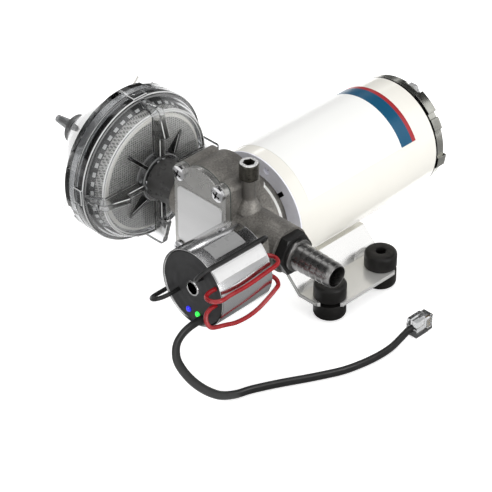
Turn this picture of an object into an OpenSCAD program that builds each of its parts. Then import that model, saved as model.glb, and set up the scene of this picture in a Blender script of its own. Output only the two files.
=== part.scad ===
// Caravan water pump: a brush motor on a saddle bracket turns a gear pump, with a clear
// strainer on the inlet and a pressure sensor with a data lead on the outlet.
// Origin on the floor at the centre of the four feet. +X runs to the outlet, +Y along the
// motor away from the pump head, +Z up. All sizes are in millimetres.

/* [Feet] */
// Distance between foot centres across the motor
foot_span_x = 76; // [72:0.5:90]
// Distance between foot centres along the motor
foot_span_y = 38; // [32:0.5:60]
// Outer diameter of a rubber foot
foot_d = 17.1; // [15:0.1:20]
// Height of a rubber foot
foot_h = 19.6; // [16:0.1:24]
// Diameter of the screw hole through a foot
foot_bore_d = 5.6; // [4:0.1:7]
// Diameter of the groove that the bracket slides into
foot_neck_d = 10; // [8.5:0.1:12]
// Height of the foot below the bracket
foot_base_h = 9; // [6:0.1:11]

/* [Bracket] */
// Sheet thickness
bracket_t = 2; // [1.5:0.1:3]
// Height of the saddle above the flanges
saddle_rise = 10; // [8:0.5:14]
// Width of the flat saddle
saddle_w = 33.2; // [24:0.2:34]
// Flange outside the foot centres, across the motor
flange_margin_x = 9.7; // [7:0.1:14]
// Flange outside the foot centres, along the motor
flange_margin_y = 10.2; // [7:0.1:14]
// Distance from a foot's axis to the cut corner of the flange
corner_cut = 7.2; // [5.5:0.1:9]
// Diameter of the round pocket that clears each foot from the sloping leg
foot_pocket_d = 28; // [24:0.5:30]

/* [Motor] */
// Outer diameter of the motor tube
motor_od = 63; // [58:0.5:70]
// Length of the motor tube
motor_len = 101.5; // [95:0.5:130]
// Wall of the motor tube
motor_wall = 1.5; // [1.2:0.1:2.5]
// How far the front edge of the tube lies ahead of the feet's centre
motor_overhang = 34; // [32:0.5:50]
// Shaft diameter
shaft_d = 8; // [6:0.5:9]
// Outer diameter of the two shaft bearings
bearing_od = 22; // [18:0.5:26]
// Width of the two shaft bearings
bearing_w = 7; // [5:0.5:8]
// Thickness of the field magnets
magnet_t = 5; // [3:0.5:6]
// Length of the armature's iron core
core_len = 46; // [30:1:50]
// How far the rear cap stands out of the tube
rear_cap_len = 8.5; // [6:0.5:12]

/* [Pump head] */
// Teeth of each pump gear
gear_teeth = 12; // [10:1:14]
// Gear module
gear_module = 2; // [1.8:0.05:2.2]
// Width of the pump gears
gear_w = 16; // [13:0.5:22]
// Wall of the pump body around the gears
pump_wall = 3.75; // [3:0.25:6]
// Distance from the motor to the back wall of the gear chamber
chamber_reach = 19.5; // [17:0.5:24]
// Distance from the motor to the axis of the two ports
port_reach = 25; // [24.8:0.1:29]
// Thickness of the cover plate
cover_t = 3; // [2:0.25:5]
// Thickness of the cover gasket
gasket_t = 0.5; // [0.3:0.1:1]
// Diameter of the flange against the motor
pump_flange_d = 44; // [42:0.5:50]
// Thickness of the flange against the motor
pump_flange_t = 3.5; // [3:0.25:6]
// Bore of the water passages
port_bore_d = 10; // [7:0.5:10.5]
// Diameter of the screws in the pump head
screw_d = 4; // [3:0.5:4.5]

/* [Outlet] */
// Diameter of the outlet pipe of the casting
manifold_d = 24; // [21:0.5:26]
// Distance from the pump's middle to the end of the outlet pipe
outlet_reach = 47; // [45:0.5:56]
// Width across the flats of the outlet nut
nut_af = 19.6; // [18.5:0.1:22]
// Thickness of the outlet nut
nut_t = 5; // [4:0.25:9]
// Outer diameter of the hose barb at its open end
barb_d = 12.6; // [12:0.1:14]
// Bore of the hose barb
barb_bore_d = 10.4; // [6:0.1:10.8]
// Length of the hose barb beyond its collar
barb_len = 24.4; // [18:0.2:36]
// Ridges on the hose barb
barb_ridges = 6; // [3:1:7]

/* [Relief valve] */
// Distance of the relief valve from the pump's middle
relief_x = 19.7; // [19:0.1:22]
// Diameter of the relief valve's bore
relief_bore_d = 4.4; // [4:0.1:5.5]
// Diameter of the plug's head
plug_head_d = 10; // [9:0.1:12]
// Height of the plug's head
plug_head_h = 9.4; // [6:0.1:12]
// Lift of the relief poppet
relief_lift = 3; // [1:0.25:3.5]

/* [Strainer] */
// Diameter of the strainer's rim
strainer_d = 82; // [80:0.5:96]
// Distance from the pump's middle to the strainer's hub
inlet_reach = 42; // [38:0.5:56]
// Diameter of the strainer's hub
hub_d = 26; // [24:0.5:32]
// Length of the strainer's hub
hub_len = 5; // [4:0.25:8]
// Wall of the clear strainer parts
clear_wall = 2; // [1.5:0.1:2.5]
// Thickness of the four ribs
rib_t = 3.4; // [2:0.1:5]
// Depth from the strainer's face to its rim
bowl_depth = 9.5; // [7:0.25:14]
// Width of the bowl's rim
bowl_rim_w = 6; // [5.5:0.1:9]
// Width of the lid's rim
lid_rim_w = 7.2; // [5:0.1:9]
// Length of the lid's cone
lid_cone_len = 31; // [24:0.5:40]
// Diameter of the inlet adaptor between pump and strainer
adaptor_d = 21.2; // [18.5:0.2:23]

/* [Sensor] */
// Diameter of the sensor's case
sensor_d = 40.8; // [38:0.2:44]
// Length of the sensor's case
sensor_len = 33.3; // [28:0.1:45]
// Wall of the sensor's case
sensor_wall = 1.2; // [0.8:0.1:1.5]
// Distance of the sensor's axis from the end of the outlet pipe
sensor_setback = 10.3; // [9.5:0.1:11]
// Distance from the port axis to the sensor's back
sensor_reach = 21.5; // [20:0.1:26]
// Diameter of the two indicator lamps
lamp_d = 3; // [2:0.1:4]
// Outer diameter of the eyelet in the cap
eyelet_d = 8; // [7:0.1:9]

/* [Cords] */
// Diameter of the sensor's wires
wire_d = 2.2; // [1.6:0.1:2.4]
// Width of the flat data lead
lead_w = 4.6; // [4:0.1:5.2]
// Thickness of the flat data lead
lead_t = 2.4; // [2:0.1:2.6]

/* [Clearances] */
// Radial clearance of turning and sliding fits
run_gap = 0.05; // [0.03:0.01:0.08]
// Clearance between pieces that only pass each other
free_gap = 0.3; // [0.2:0.05:0.4]
// Radial clearance of fixed pieces in their holes
seat_gap = 0.02; // [0.01:0.01:0.05]

/* [Hidden] */
$fn = 64;
// Smallest step that keeps cut faces apart
eps = 0.01;
// Bracket and motor levels
flange_z = foot_base_h + bracket_t;
saddle_z = flange_z + saddle_rise;
bend_x = saddle_w / 2 + saddle_rise;
flange_edge_x = foot_span_x / 2 + flange_margin_x;
bracket_len = foot_span_y + 2 * flange_margin_y;
motor_r = motor_od / 2;
tube_r = motor_r - motor_wall;
motor_z = saddle_z + motor_r;
motor_front = -motor_overhang;
motor_back = motor_front + motor_len;
shaft_r = shaft_d / 2;
bearing_r = bearing_od / 2;
// Motor inside: front plate, armature, commutator and brushes
end_plate_t = 4;
cap_lip_t = 0.8;
tube_front = motor_front + cap_lip_t;
bearing_seat_t = 2.5;
front_bearing_y = motor_front + end_plate_t;
rear_bearing_y = motor_back - bearing_w + 2;
air_gap = 0.8;
core_r = tube_r - magnet_t - air_gap;
core_y = (motor_front + motor_back) / 2 - core_len / 2 - 3;
magnet_over = 3;
coil_len = 8;
coil_tube_r = 4;
slot_count = 12;
slot_r = 2.4;
slot_ring_r = core_r - slot_r - 1.2;
commutator_r = 10;
commutator_len = 11;
commutator_y = core_y + core_len + coil_len + 1;
brush_w = 5;
brush_len = 7;
brush_box_wall = 1.2;
brush_box_end = tube_r - 2.5;
brush_plate_t = 2;
brush_plate_y = commutator_y + commutator_len - 1;
tie_bolt_d = 4;
tie_bolt_r = tube_r - tie_bolt_d / 2 - 0.8;
tie_bolt_angles = [75, 255];
tie_head_d = 7;
tie_head_h = 3;
label_t = 0.15;
label_start = 8.5;
label_end = 88;
label_angle = 27;
label_sweep = 156;
vent_len = 5;
vent_w = 2.4;
// Pump head levels, from the motor forwards
port_y = motor_front - port_reach;
chamber_back = motor_front - chamber_reach;
body_front = chamber_back - gear_w;
gasket_front = body_front - gasket_t;
cover_front = gasket_front - cover_t;
flange_front = motor_front - pump_flange_t;
chamber_wall = 4;
wall_back = chamber_back + chamber_wall;
gear_pitch_r = gear_teeth * gear_module / 2;
gear_tip_r = gear_pitch_r + 0.8 * gear_module;
gear_root_r = gear_pitch_r - 1.2 * gear_module;
gear_spacing = 2 * gear_pitch_r;
driven_z = motor_z + gear_spacing;
head_z = motor_z + gear_pitch_r;
port_drop = 0.8;
port_z = head_z - port_drop;
chamber_r = gear_tip_r + 0.15;
body_r = chamber_r + pump_wall;
body_half_w = body_r + 0.5;
screw_r = screw_d / 2;
lug_r = screw_r + 2.5;
lug_x = body_half_w - lug_r;
screw_from_gear = chamber_r + screw_r + 1.35;
lug_dz = gear_pitch_r + sqrt(pow(screw_from_gear, 2) - pow(lug_x, 2));
screw_len = 14;
screw_head_d = 2 * screw_d;
screw_head_h = 0.65 * screw_d;
cross_w = 1;
pin_d = shaft_d;
pin_depth = 3;
cover_pocket = 1.5;
seal_r = shaft_r + 4;
seal_w = 5;
seal_y = wall_back + 2;
coupling_r = seal_r + 2;
flange_screw_r = pump_flange_d / 2 - screw_head_d / 2 - 1;
flange_screw_angles = [155, 335];
port_r = port_bore_d / 2;
manifold_r = manifold_d / 2;
thread_r = 8;
outlet_thread_r = 7;
thread_len = 5;
inlet_boss_r = manifold_r + 0.5;
inlet_boss_x = body_half_w + 6;
badge_w = 31;
badge_h = 32;
badge_t = 0.5;
badge_corner = 3;
// Relief valve levels
relief_r = relief_bore_d / 2;
seat_bore_r = relief_r - 1;
seat_z = port_z + manifold_r - 3;
neck_wall = 1.2;
neck_r = relief_r + neck_wall;
neck_top = head_z + 27.8;
poppet_len = 5.5;
poppet_nose = 1.2;
plug_shank = 6;
socket_af = 5.5;
socket_depth = 4.5;
spring_wire = 0.5;
spring_turns = 4;
// Hose barb along the outlet
nut_x = outlet_reach + seat_gap;
collar_x = nut_x + nut_t;
collar_t = 2.2;
collar_r = outlet_thread_r + 1.3;
barb_x = collar_x + collar_t;
barb_r = barb_d / 2;
ridge_h = 0.45;
barb_taper = 0.75;
barb_lip = 1;
seal_ring_d = 1.6;
// Strainer levels along the inlet, counted from the pump's middle
hub_x = -inlet_reach;
face_x = hub_x - hub_len;
rim_x = face_x - bowl_depth;
joint_x = rim_x - bowl_rim_w;
lid_back = joint_x - lid_rim_w;
cone_end = lid_back - lid_cone_len;
hub_r = hub_d / 2;
hub_bore_r = thread_r;
rim_r = strainer_d / 2;
face_r = rim_r - 6.2;
shoulder_r = rim_r - 1.8;
tongue_r = shoulder_r - free_gap;
seal_in_r = shoulder_r - clear_wall;
ledge_x = rim_x - clear_wall;
strainer_seal_w = 2.4;
fin_r = rim_r - 0.5;
fin_x = hub_x + 1.3;
fin_root_x = hub_x + 4.5;
fin_round = 3;
fin_tip = [for (a = [0:22.5:90]) [fin_x, fin_r] - fin_round * [1 - cos(a), 1 - sin(a)]];
gusset_r = 26;
clip_w = 9;
clip_h = 0.9;
notch_count = 8;
notch_w = 9;
notch_depth = 1.4;
wing_len = 18.6;
wing_r = rim_r - 1.8;
wing_t = 3;
collar_small_r = 8;
collar_groove_r = 5.2;
collar_w = 7;
spigot_len = 14;
spigot_base_r = 3.5;
spigot_tip_r = 2;
spigot_bore_r = 1.2;
screen_t = 0.7;
screen_gap = 0.4;
adaptor_r = adaptor_d / 2;
// Sensor levels
sensor_r = sensor_d / 2;
sensor_x = outlet_reach - sensor_setback;
sensor_in_r = sensor_r - sensor_wall;
sensor_back = port_y - sensor_reach;
sensor_front = sensor_back - sensor_len;
sensor_back_t = 2;
cap_recess = 0.5;
cap_t = 6;
cap_skirt = 5;
cap_face = sensor_front + cap_recess;
cap_r = sensor_in_r - seat_gap;
board_t = 1.6;
stem_boss_r = 9;
stem_boss_len = 15;
stem_boss_y = port_y - stem_boss_len;
stem_r = 5;
stem_seat = 5;
stem_hex_af = 14;
stem_bore_r = 2;
eyelet_bore_d = eyelet_d - 1.8;
eyelet_h = 0.6;
eyelet_depth = 4;
lamp_x = 3.1;
lamp_dz = -13.8;
lamp_h = 1;
patch_t = 0.15;
// Data plug, standing on its edge on the floor
plug_h = 9.65;
plug_w = 6.6;
plug_len = 12;
plug_x = 80.8;
plug_y = -4.3;
latch_w = 5;
latch_t = 1.2;
contact_count = 6;
contact_pitch = 1.02;
contact_t = 0.5;
contact_len = 3;
// Route of the flat data lead. It drops from the cap: [across, along, height left to the floor]
lead_x = sensor_x + lamp_x + lamp_d / 2 + lead_t / 2 + 0.2;
lead_z = port_z - 15;
lead_floor_z = lead_w / 2 + 0.1;
lead_drop = [[0, 0, 1], [0, -4, 1], [0, -8.5, 0.99], [0, -13, 0.955], [0.2, -16.7, 0.885], [0.6, -18, 0.78],
    [1.4, -17.5, 0.66], [3, -14.5, 0.5], [5, -10, 0.34], [7, -4, 0.19], [9, 3, 0.07], [11, 11, 0.01]];
// It then runs over the floor to the plug: [part of the way across, along, rise to the plug]
lead_run = [[0.08, 0.08, 0], [0.23, 0.17, 0], [0.38, 0.25, 0], [0.56, 0.34, 0], [0.73, 0.43, 0],
    [0.88, 0.52, 0], [0.98, 0.62, 0], [1.04, 0.73, 0], [1.05, 0.83, 0.15], [1.02, 0.92, 0.7],
    [1, 0.97, 1], [1, 1, 1]];
// Sensor wires: [angle about the sensor's axis, distance outside its case, part of the case's length]
wire_tail = 0.5;
red_upper_start = [26, -3.4];
red_upper_straight = 4.2;
red_upper_bend = [18, 5.2];
red_upper_side = [[16.3, 3.6, 0.06], [14.8, 2.6, 0.2], [14, 2.3, 0.42], [15, 2.2, 0.65],
    [16.6, 2.3, 0.85]];
red_upper_rear = [17.5, 2.2];
red_upper_end = [31, -6];
red_lower_start = [-7, -4.7];
red_lower_straight = 3.5;
red_lower_bend = [-29, 1.8];
red_lower_side = [[-30, 3, 0.06], [-32, 4.4, 0.24], [-32, 4.9, 0.46], [-29.5, 4.5, 0.66],
    [-24, 3.5, 0.84]];
red_lower_rear = [-17, 2.4];
red_lower_end = [-14, -6.6];
black_start_off = -9.2;
black_side_off = 1.6;
black_end_off = -7.6;
black_side = [[0, black_side_off, 0.1], [0, black_side_off, 0.4], [0, black_side_off, 0.7]];
black_top_angle = 55;
black_top_straight = 1;
black_side_angle = 209;
black_side_straight = 6.4;

// Places
module on_motor() { translate([0, 0, motor_z]) children(); }
module on_driven() { translate([0, 0, driven_z]) children(); }
module on_port() { translate([0, port_y, port_z]) children(); }
module on_sensor() { translate([sensor_x, 0, port_z]) children(); }

// A profile of [radius, place] turned about the X or the Y axis
module turn_x(profile) { rotate([0, 90, 0]) rotate_extrude() polygon(profile); }
module turn_y(profile) { rotate([-90, 0, 0]) rotate_extrude() polygon(profile); }
// A round bar from one place to another along an axis
module bar_x(x0, x1, r) { translate([x0, 0, 0]) rotate([0, 90, 0]) cylinder(h = x1 - x0, r = r); }
module bar_y(y0, y1, r) { translate([0, y0, 0]) rotate([-90, 0, 0]) cylinder(h = y1 - y0, r = r); }
module bar_z(z0, z1, r) { translate([0, 0, z0]) cylinder(h = z1 - z0, r = r); }
// A flat outline in X and Z, given its depth along Y
module slab_y(y0, y1) { translate([0, y1, 0]) rotate([90, 0, 0]) linear_extrude(y1 - y0) children(); }
module ring_y(y0, y1, r_out, r_in) {
    difference() {
        bar_y(y0, y1, r_out);
        bar_y(y0 - 1, y1 + 1, r_in);
    }
}

// Screw along +Z: a domed head on z = 0 and a plain shank below it
module pan_screw(d, head_d, head_h, length) {
    head_r = head_d / 2;
    difference() {
        union() {
            intersection() {
                translate([0, 0, head_h - 1.25 * head_d]) sphere(r = 1.25 * head_d);
                cylinder(h = head_h, r = head_r);
            }
            translate([0, 0, -length]) cylinder(h = length + eps, r = d / 2);
        }
        for (a = [0, 90])
            rotate(a) translate([-head_r * 0.6, -cross_w / 2, head_h * 0.45])
                cube([head_r * 1.2, cross_w, head_h]);
    }
}
module hex_bar(af, h) { cylinder(h = h, r = af / sqrt(3), $fn = 6); }

// Tubes along a route: a section of [side, up] points is carried along the points
function unit(v) = v / norm(v);
function heading(p, i) = unit(p[min(i + 1, len(p) - 1)] - p[max(i - 1, 0)]);
// Side directions of the section: square to one fixed direction, or turned as little as possible
function square_to(p, ref) = [for (i = [0:len(p) - 1]) unit(cross(heading(p, i), ref))];
function carried(p, n, i = 0) = i >= len(p) ? [] :
    let (t = heading(p, i), m = unit(n - (n * t) * t)) concat([m], carried(p, m, i + 1));
function ring_at(p, sides, i, section) =
    let (n = sides[i], b = cross(heading(p, i), n)) [for (s = section) p[i] + s[0] * n + s[1] * b];
function round_section(d, count) =
    [for (j = [0:count - 1]) d / 2 * [cos(360 * j / count), sin(360 * j / count)]];
function flat_section(w, t) =
    [for (end = [1, -1]) for (a = [-90:45:90]) end * [(w - t) / 2 + t / 2 * cos(a), t / 2 * sin(a)]];
module route_tube(p, sides, section) {
    k = len(section);
    last = (len(p) - 1) * k;
    points = [for (i = [0:len(p) - 1]) each ring_at(p, sides, i, section)];
    start_faces = [for (j = [1:k - 2]) [0, j, j + 1]];
    end_faces = [for (j = [1:k - 2]) [last, last + j + 1, last + j]];
    side_faces = [for (i = [0:len(p) - 2]) for (j = [0:k - 1])
        let (a = i * k + j, b = i * k + (j + 1) % k)
        each [[a, a + k, b + k], [a, b + k, b]]];
    polyhedron(points, concat(start_faces, side_faces, end_faces));
}
// A wire spring about the Z axis, from z = 0 to z = h
module coil_spring(r, h, wire, turns) {
    steps = 8 * turns;
    rise = h - wire;
    route = [for (i = [0:steps]) let (a = 45 * i)
        [r * cos(a), r * sin(a), wire / 2 + rise * i / steps]];
    route_tube(route, square_to(route, [0, 0, 1]), round_section(wire, 6));
}

// Bracket: a folded hat section with an open slot at each corner
module over_hat_profile() {
    polygon([[-flange_edge_x, foot_base_h], [flange_edge_x, foot_base_h],
        [flange_edge_x, flange_z], [bend_x, flange_z], [saddle_w / 2, saddle_z],
        [-saddle_w / 2, saddle_z], [-bend_x, flange_z], [-flange_edge_x, flange_z]]);
}
module under_hat_profile() {
    shift = bracket_t * tan(22.5);
    low = bend_x - shift + 1;
    high = saddle_w / 2 - shift;
    polygon([[-low, foot_base_h - 1], [low, foot_base_h - 1], [high, saddle_z - bracket_t],
        [-high, saddle_z - bracket_t]]);
}
module each_foot() {
    for (sx = [-1, 1], sy = [-1, 1])
        translate([sx * foot_span_x / 2, sy * foot_span_y / 2, 0])
            rotate(atan2(sy, sx)) children();
}
module base_bracket() {
    half_len = bracket_len / 2;
    pocket_r = foot_pocket_d / 2;
    slot_w = foot_neck_d + 2 * run_gap;
    pocket_z = flange_z + 0.2;
    color("gainsboro") difference() {
        slab_y(-half_len, half_len) over_hat_profile();
        difference() {
            slab_y(-half_len - 1, half_len + 1) under_hat_profile();
            each_foot() bar_z(foot_base_h - 2, saddle_z, pocket_r + bracket_t);
        }
        each_foot() {
            bar_z(pocket_z, saddle_z + 1, pocket_r);
            bar_z(0, saddle_z, slot_w / 2);
            translate([0, -slot_w / 2, 0]) cube([foot_d * 2, slot_w, saddle_z]);
            translate([corner_cut, -foot_d * 2, 0]) cube([foot_d * 2, foot_d * 4, saddle_z]);
        }
        for (s = [-1, 1]) translate([0, s * foot_span_y / 2, 0]) bar_z(0, saddle_z + 1, screw_r + run_gap);
    }
}
module rubber_feet() {
    r = foot_d / 2;
    round_r = 1.6;
    top_cut = 1.3;
    color("#232323") for (sx = [-1, 1], sy = [-1, 1])
        translate([sx * foot_span_x / 2, sy * foot_span_y / 2, 0]) rotate_extrude()
            polygon([[foot_bore_d / 2, 0], [r - round_r, 0], [r - 0.4, 0.6], [r, round_r],
                [r, foot_base_h], [foot_neck_d / 2, foot_base_h], [foot_neck_d / 2, flange_z],
                [r, flange_z], [r, foot_h - top_cut], [r - top_cut, foot_h], [foot_bore_d / 2, foot_h]]);
}
module bracket_screws() {
    color("silver") for (s = [-1, 1]) translate([0, s * foot_span_y / 2, saddle_z - bracket_t])
        rotate([180, 0, 0]) pan_screw(screw_d, screw_head_d, screw_head_h, bracket_t + motor_wall + 1.5);
}

// Motor
module motor_tube() {
    color("white") difference() {
        on_motor() ring_y(tube_front, motor_back, motor_r, tube_r);
        for (s = [-1, 1]) translate([0, s * foot_span_y / 2, 0]) bar_z(0, motor_z, screw_r + seat_gap);
    }
}
module motor_label() {
    color("whitesmoke") on_motor() rotate([-90, 0, 0]) rotate([0, 0, -label_angle - label_sweep])
        rotate_extrude(angle = label_sweep)
            translate([motor_r + seat_gap, motor_front + label_start])
                square([label_t, label_end - label_start]);
}
module tie_bolt_places() {
    for (a = tie_bolt_angles)
        translate([tie_bolt_r * cos(a), 0, tie_bolt_r * sin(a)]) children();
}
module front_end_cap() {
    seat_end = front_bearing_y + bearing_w;
    color("#9a9caa") on_motor() difference() {
        union() {
            bar_y(motor_front, tube_front, motor_r);
            bar_y(motor_front, front_bearing_y, tube_r - seat_gap);
            bar_y(motor_front, seat_end, bearing_r + bearing_seat_t);
        }
        bar_y(motor_front - 1, seat_end, shaft_r + 2);
        bar_y(front_bearing_y, seat_end + 1, bearing_r + seat_gap);
        tie_bolt_places() bar_y(motor_front - 1, seat_end, tie_bolt_d / 2 + seat_gap);
        for (a = [-45, 135]) rotate([0, a, 0])
            translate([tube_r - 9, motor_front - 1, -vent_w / 2]) cube([vent_len, end_plate_t + 2, vent_w]);
        for (a = flange_screw_angles)
            translate([flange_screw_r * cos(a), 0, flange_screw_r * sin(a)])
                bar_y(motor_front - 1, seat_end, screw_r + seat_gap);
    }
}
module rear_end_cap() {
    cap_r1 = motor_r - 1;
    seat_y = rear_bearing_y;
    rim = 1.2;
    notch = tie_head_d * 1.3;
    back = motor_back + rear_cap_len;
    color("#3a3b3d") on_motor() difference() {
        union() {
            turn_y([[0, motor_back], [motor_r - 0.3, motor_back], [motor_r - 0.3, motor_back + rim],
                [cap_r1, motor_back + rim], [cap_r1, back - 2], [cap_r1 - 2, back], [0, back]]);
            ring_y(motor_back - 6, motor_back + rim / 2, tube_r - seat_gap, tube_r - 2);
            bar_y(seat_y, motor_back + rim / 2, bearing_r + bearing_seat_t);
            rotate([-90, 0, 0]) rotate([0, 0, -64]) rotate_extrude(angle = 22)
                translate([cap_r1 - 4, motor_back + rim]) square([5.6, rear_cap_len - rim - 1.5]);
            rotate([-90, 0, 0]) rotate([0, 0, -36]) rotate_extrude(angle = 12)
                translate([cap_r1 - 4, motor_back + rim]) square([4.8, rear_cap_len - rim - 1.5]);
            rotate([-90, 0, 0]) rotate([0, 0, 4]) rotate_extrude(angle = 12)
                translate([cap_r1 - 4, motor_back + rim]) square([5.4, rear_cap_len - rim - 1]);
        }
        bar_y(seat_y - 1, seat_y + bearing_w, bearing_r + seat_gap);
        bar_y(seat_y, seat_y + bearing_w + 2, shaft_r + 2);
        tie_bolt_places() bar_y(motor_back - 10, back + 1, tie_bolt_d / 2 + seat_gap);
        for (a = tie_bolt_angles) rotate([0, -a, 0])
            translate([tie_bolt_r - notch / 2, back - tie_head_h, -notch / 2])
                cube([notch * 2, notch, notch]);
        ring_y(back - 1.5, back + 1, cap_r1 - 11, bearing_r - 2);
    }
}
module tie_bolts() {
    color("silver") on_motor() tie_bolt_places() {
        bar_y(motor_front + 1, motor_back + rear_cap_len - tie_head_h, tie_bolt_d / 2);
        translate([0, motor_back + rear_cap_len - tie_head_h, 0]) rotate([-90, 0, 0])
            hex_bar(tie_head_d, tie_head_h);
    }
}
module field_magnets() {
    half_angle = 58;
    color("#2e2e30") on_motor() for (turn = [0, 180])
        rotate([0, turn, 0]) rotate([-90, 0, 0]) rotate([0, 0, -half_angle])
            rotate_extrude(angle = 2 * half_angle)
                translate([tube_r - magnet_t, core_y - magnet_over])
                    square([magnet_t - seat_gap, core_len + 2 * magnet_over]);
}
module front_bearing() {
    color("lightsteelblue") on_motor()
        ring_y(front_bearing_y, front_bearing_y + bearing_w, bearing_r, shaft_r + run_gap);
}
module rear_bearing() {
    color("lightsteelblue") on_motor()
        ring_y(rear_bearing_y, rear_bearing_y + bearing_w, bearing_r, shaft_r + run_gap);
}
module each_brush() { for (turn = [0, 180]) rotate([0, turn, 0]) children(); }
module brush_holder() {
    inside = brush_w + 2 * run_gap;
    outside = inside + 2 * brush_box_wall;
    box_start = commutator_r + 1.5;
    color("#5b3a20") on_motor() {
        difference() {
            union() {
                ring_y(brush_plate_y, brush_plate_y + brush_plate_t, tube_r - seat_gap, commutator_r + 3);
                each_brush() translate([box_start, brush_plate_y - outside, -outside / 2])
                    cube([brush_box_end - box_start, outside + eps, outside]);
            }
            each_brush() translate([box_start - 1, brush_plate_y - outside + brush_box_wall, -inside / 2])
                cube([brush_box_end - box_start + 1 - brush_box_wall, inside, inside]);
            tie_bolt_places() bar_y(brush_plate_y - 1, brush_plate_y + 5, tie_bolt_d / 2 + seat_gap);
        }
    }
}
module brush_frame() {
    on_motor() each_brush()
        translate([commutator_r + free_gap, brush_plate_y - brush_box_wall - brush_w / 2 - 2 * run_gap, 0])
            children();
}
module carbon_brushes() {
    color("#1c1c1e") brush_frame() difference() {
        translate([0, -brush_w / 2, -brush_w / 2]) cube([brush_len, brush_w, brush_w]);
        translate([-commutator_r - free_gap, -brush_w, 0]) bar_y(0, 2 * brush_w, commutator_r + free_gap);
    }
}
module brush_springs() {
    spring_len = brush_box_end - brush_box_wall - commutator_r - free_gap - brush_len;
    color("silver") brush_frame() translate([brush_len, 0, 0]) rotate([0, 90, 0])
        coil_spring(brush_w / 2 - spring_wire, spring_len, spring_wire, 4);
}

// Armature, which turns in the two bearings
module armature_shaft() {
    color("silver") on_motor()
        bar_y(cover_front + cover_pocket + free_gap, rear_bearing_y + bearing_w + 1, shaft_r);
}
module slot_places() {
    for (i = [0:slot_count - 1]) let (a = 360 * i / slot_count)
        translate([slot_ring_r * cos(a), 0, slot_ring_r * sin(a)]) children();
}
module armature_core() {
    color("#6d6f72") on_motor() difference() {
        ring_y(core_y, core_y + core_len, core_r, shaft_r + seat_gap);
        slot_places() bar_y(core_y - 1, core_y + core_len + 1, slot_r + seat_gap);
    }
}
module armature_windings() {
    ring_r = slot_ring_r - coil_tube_r + slot_r;
    color("#b5651d") on_motor() {
        slot_places() bar_y(core_y - 1, core_y + core_len + 1, slot_r);
        for (y = [core_y - coil_tube_r, core_y + core_len + coil_tube_r])
            translate([0, y, 0]) rotate([-90, 0, 0]) rotate_extrude()
                translate([ring_r, 0]) circle(coil_tube_r);
    }
}
module commutator() {
    color("#b87333") on_motor() difference() {
        union() {
            ring_y(commutator_y, commutator_y + commutator_len, commutator_r, shaft_r + seat_gap);
            ring_y(commutator_y - 1, commutator_y + 1, commutator_r + 1.5, shaft_r + seat_gap);
        }
        for (i = [0:slot_count - 1]) rotate([0, 360 * (i + 0.5) / slot_count, 0])
            translate([commutator_r - 1, commutator_y - 2, -0.3]) cube([4, commutator_len + 4, 0.6]);
    }
}

// Pump gears: involute flanks, thinned a little so that the mesh runs free
gear_backlash = 0.2;
pressure_angle = 20;
flank_steps = 4;
function involute(a) = tan(a) * 180 / PI - a;
function flank_half_angle(r) =
    let (base_r = gear_pitch_r * cos(pressure_angle), rr = max(r, base_r))
    90 / gear_teeth - gear_backlash / 2 / gear_pitch_r * 180 / PI
        + involute(pressure_angle) - involute(acos(base_r / rr));
function tooth(centre) =
    let (base_r = gear_pitch_r * cos(pressure_angle),
        radii = [for (i = [0:flank_steps]) base_r + (gear_tip_r - base_r) * i / flank_steps],
        root_half = flank_half_angle(base_r) * 0.9)
    concat([gear_root_r * [cos(centre - root_half), sin(centre - root_half)]],
        [for (r = radii) r * [cos(centre - flank_half_angle(r)), sin(centre - flank_half_angle(r))]],
        [for (i = [flank_steps:-1:0]) let (r = radii[i])
            r * [cos(centre + flank_half_angle(r)), sin(centre + flank_half_angle(r))]],
        [gear_root_r * [cos(centre + root_half), sin(centre + root_half)]]);
module spur_gear(first_tooth, bore_r) {
    slab_y(body_front + run_gap, chamber_back - run_gap) difference() {
        polygon([for (i = [0:gear_teeth - 1]) each tooth(first_tooth + 360 * i / gear_teeth)]);
        circle(bore_r);
    }
}
module drive_gear() { color("#c9a24a") on_motor() spur_gear(90, shaft_r + seat_gap); }
module driven_gear() {
    color("#d8d2c4") on_driven() spur_gear(-90 + 180 / gear_teeth, pin_d / 2 + run_gap);
}
module gear_pin() {
    color("silver") on_driven() bar_y(gasket_front - cover_pocket, chamber_back + pin_depth, pin_d / 2);
}

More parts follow.
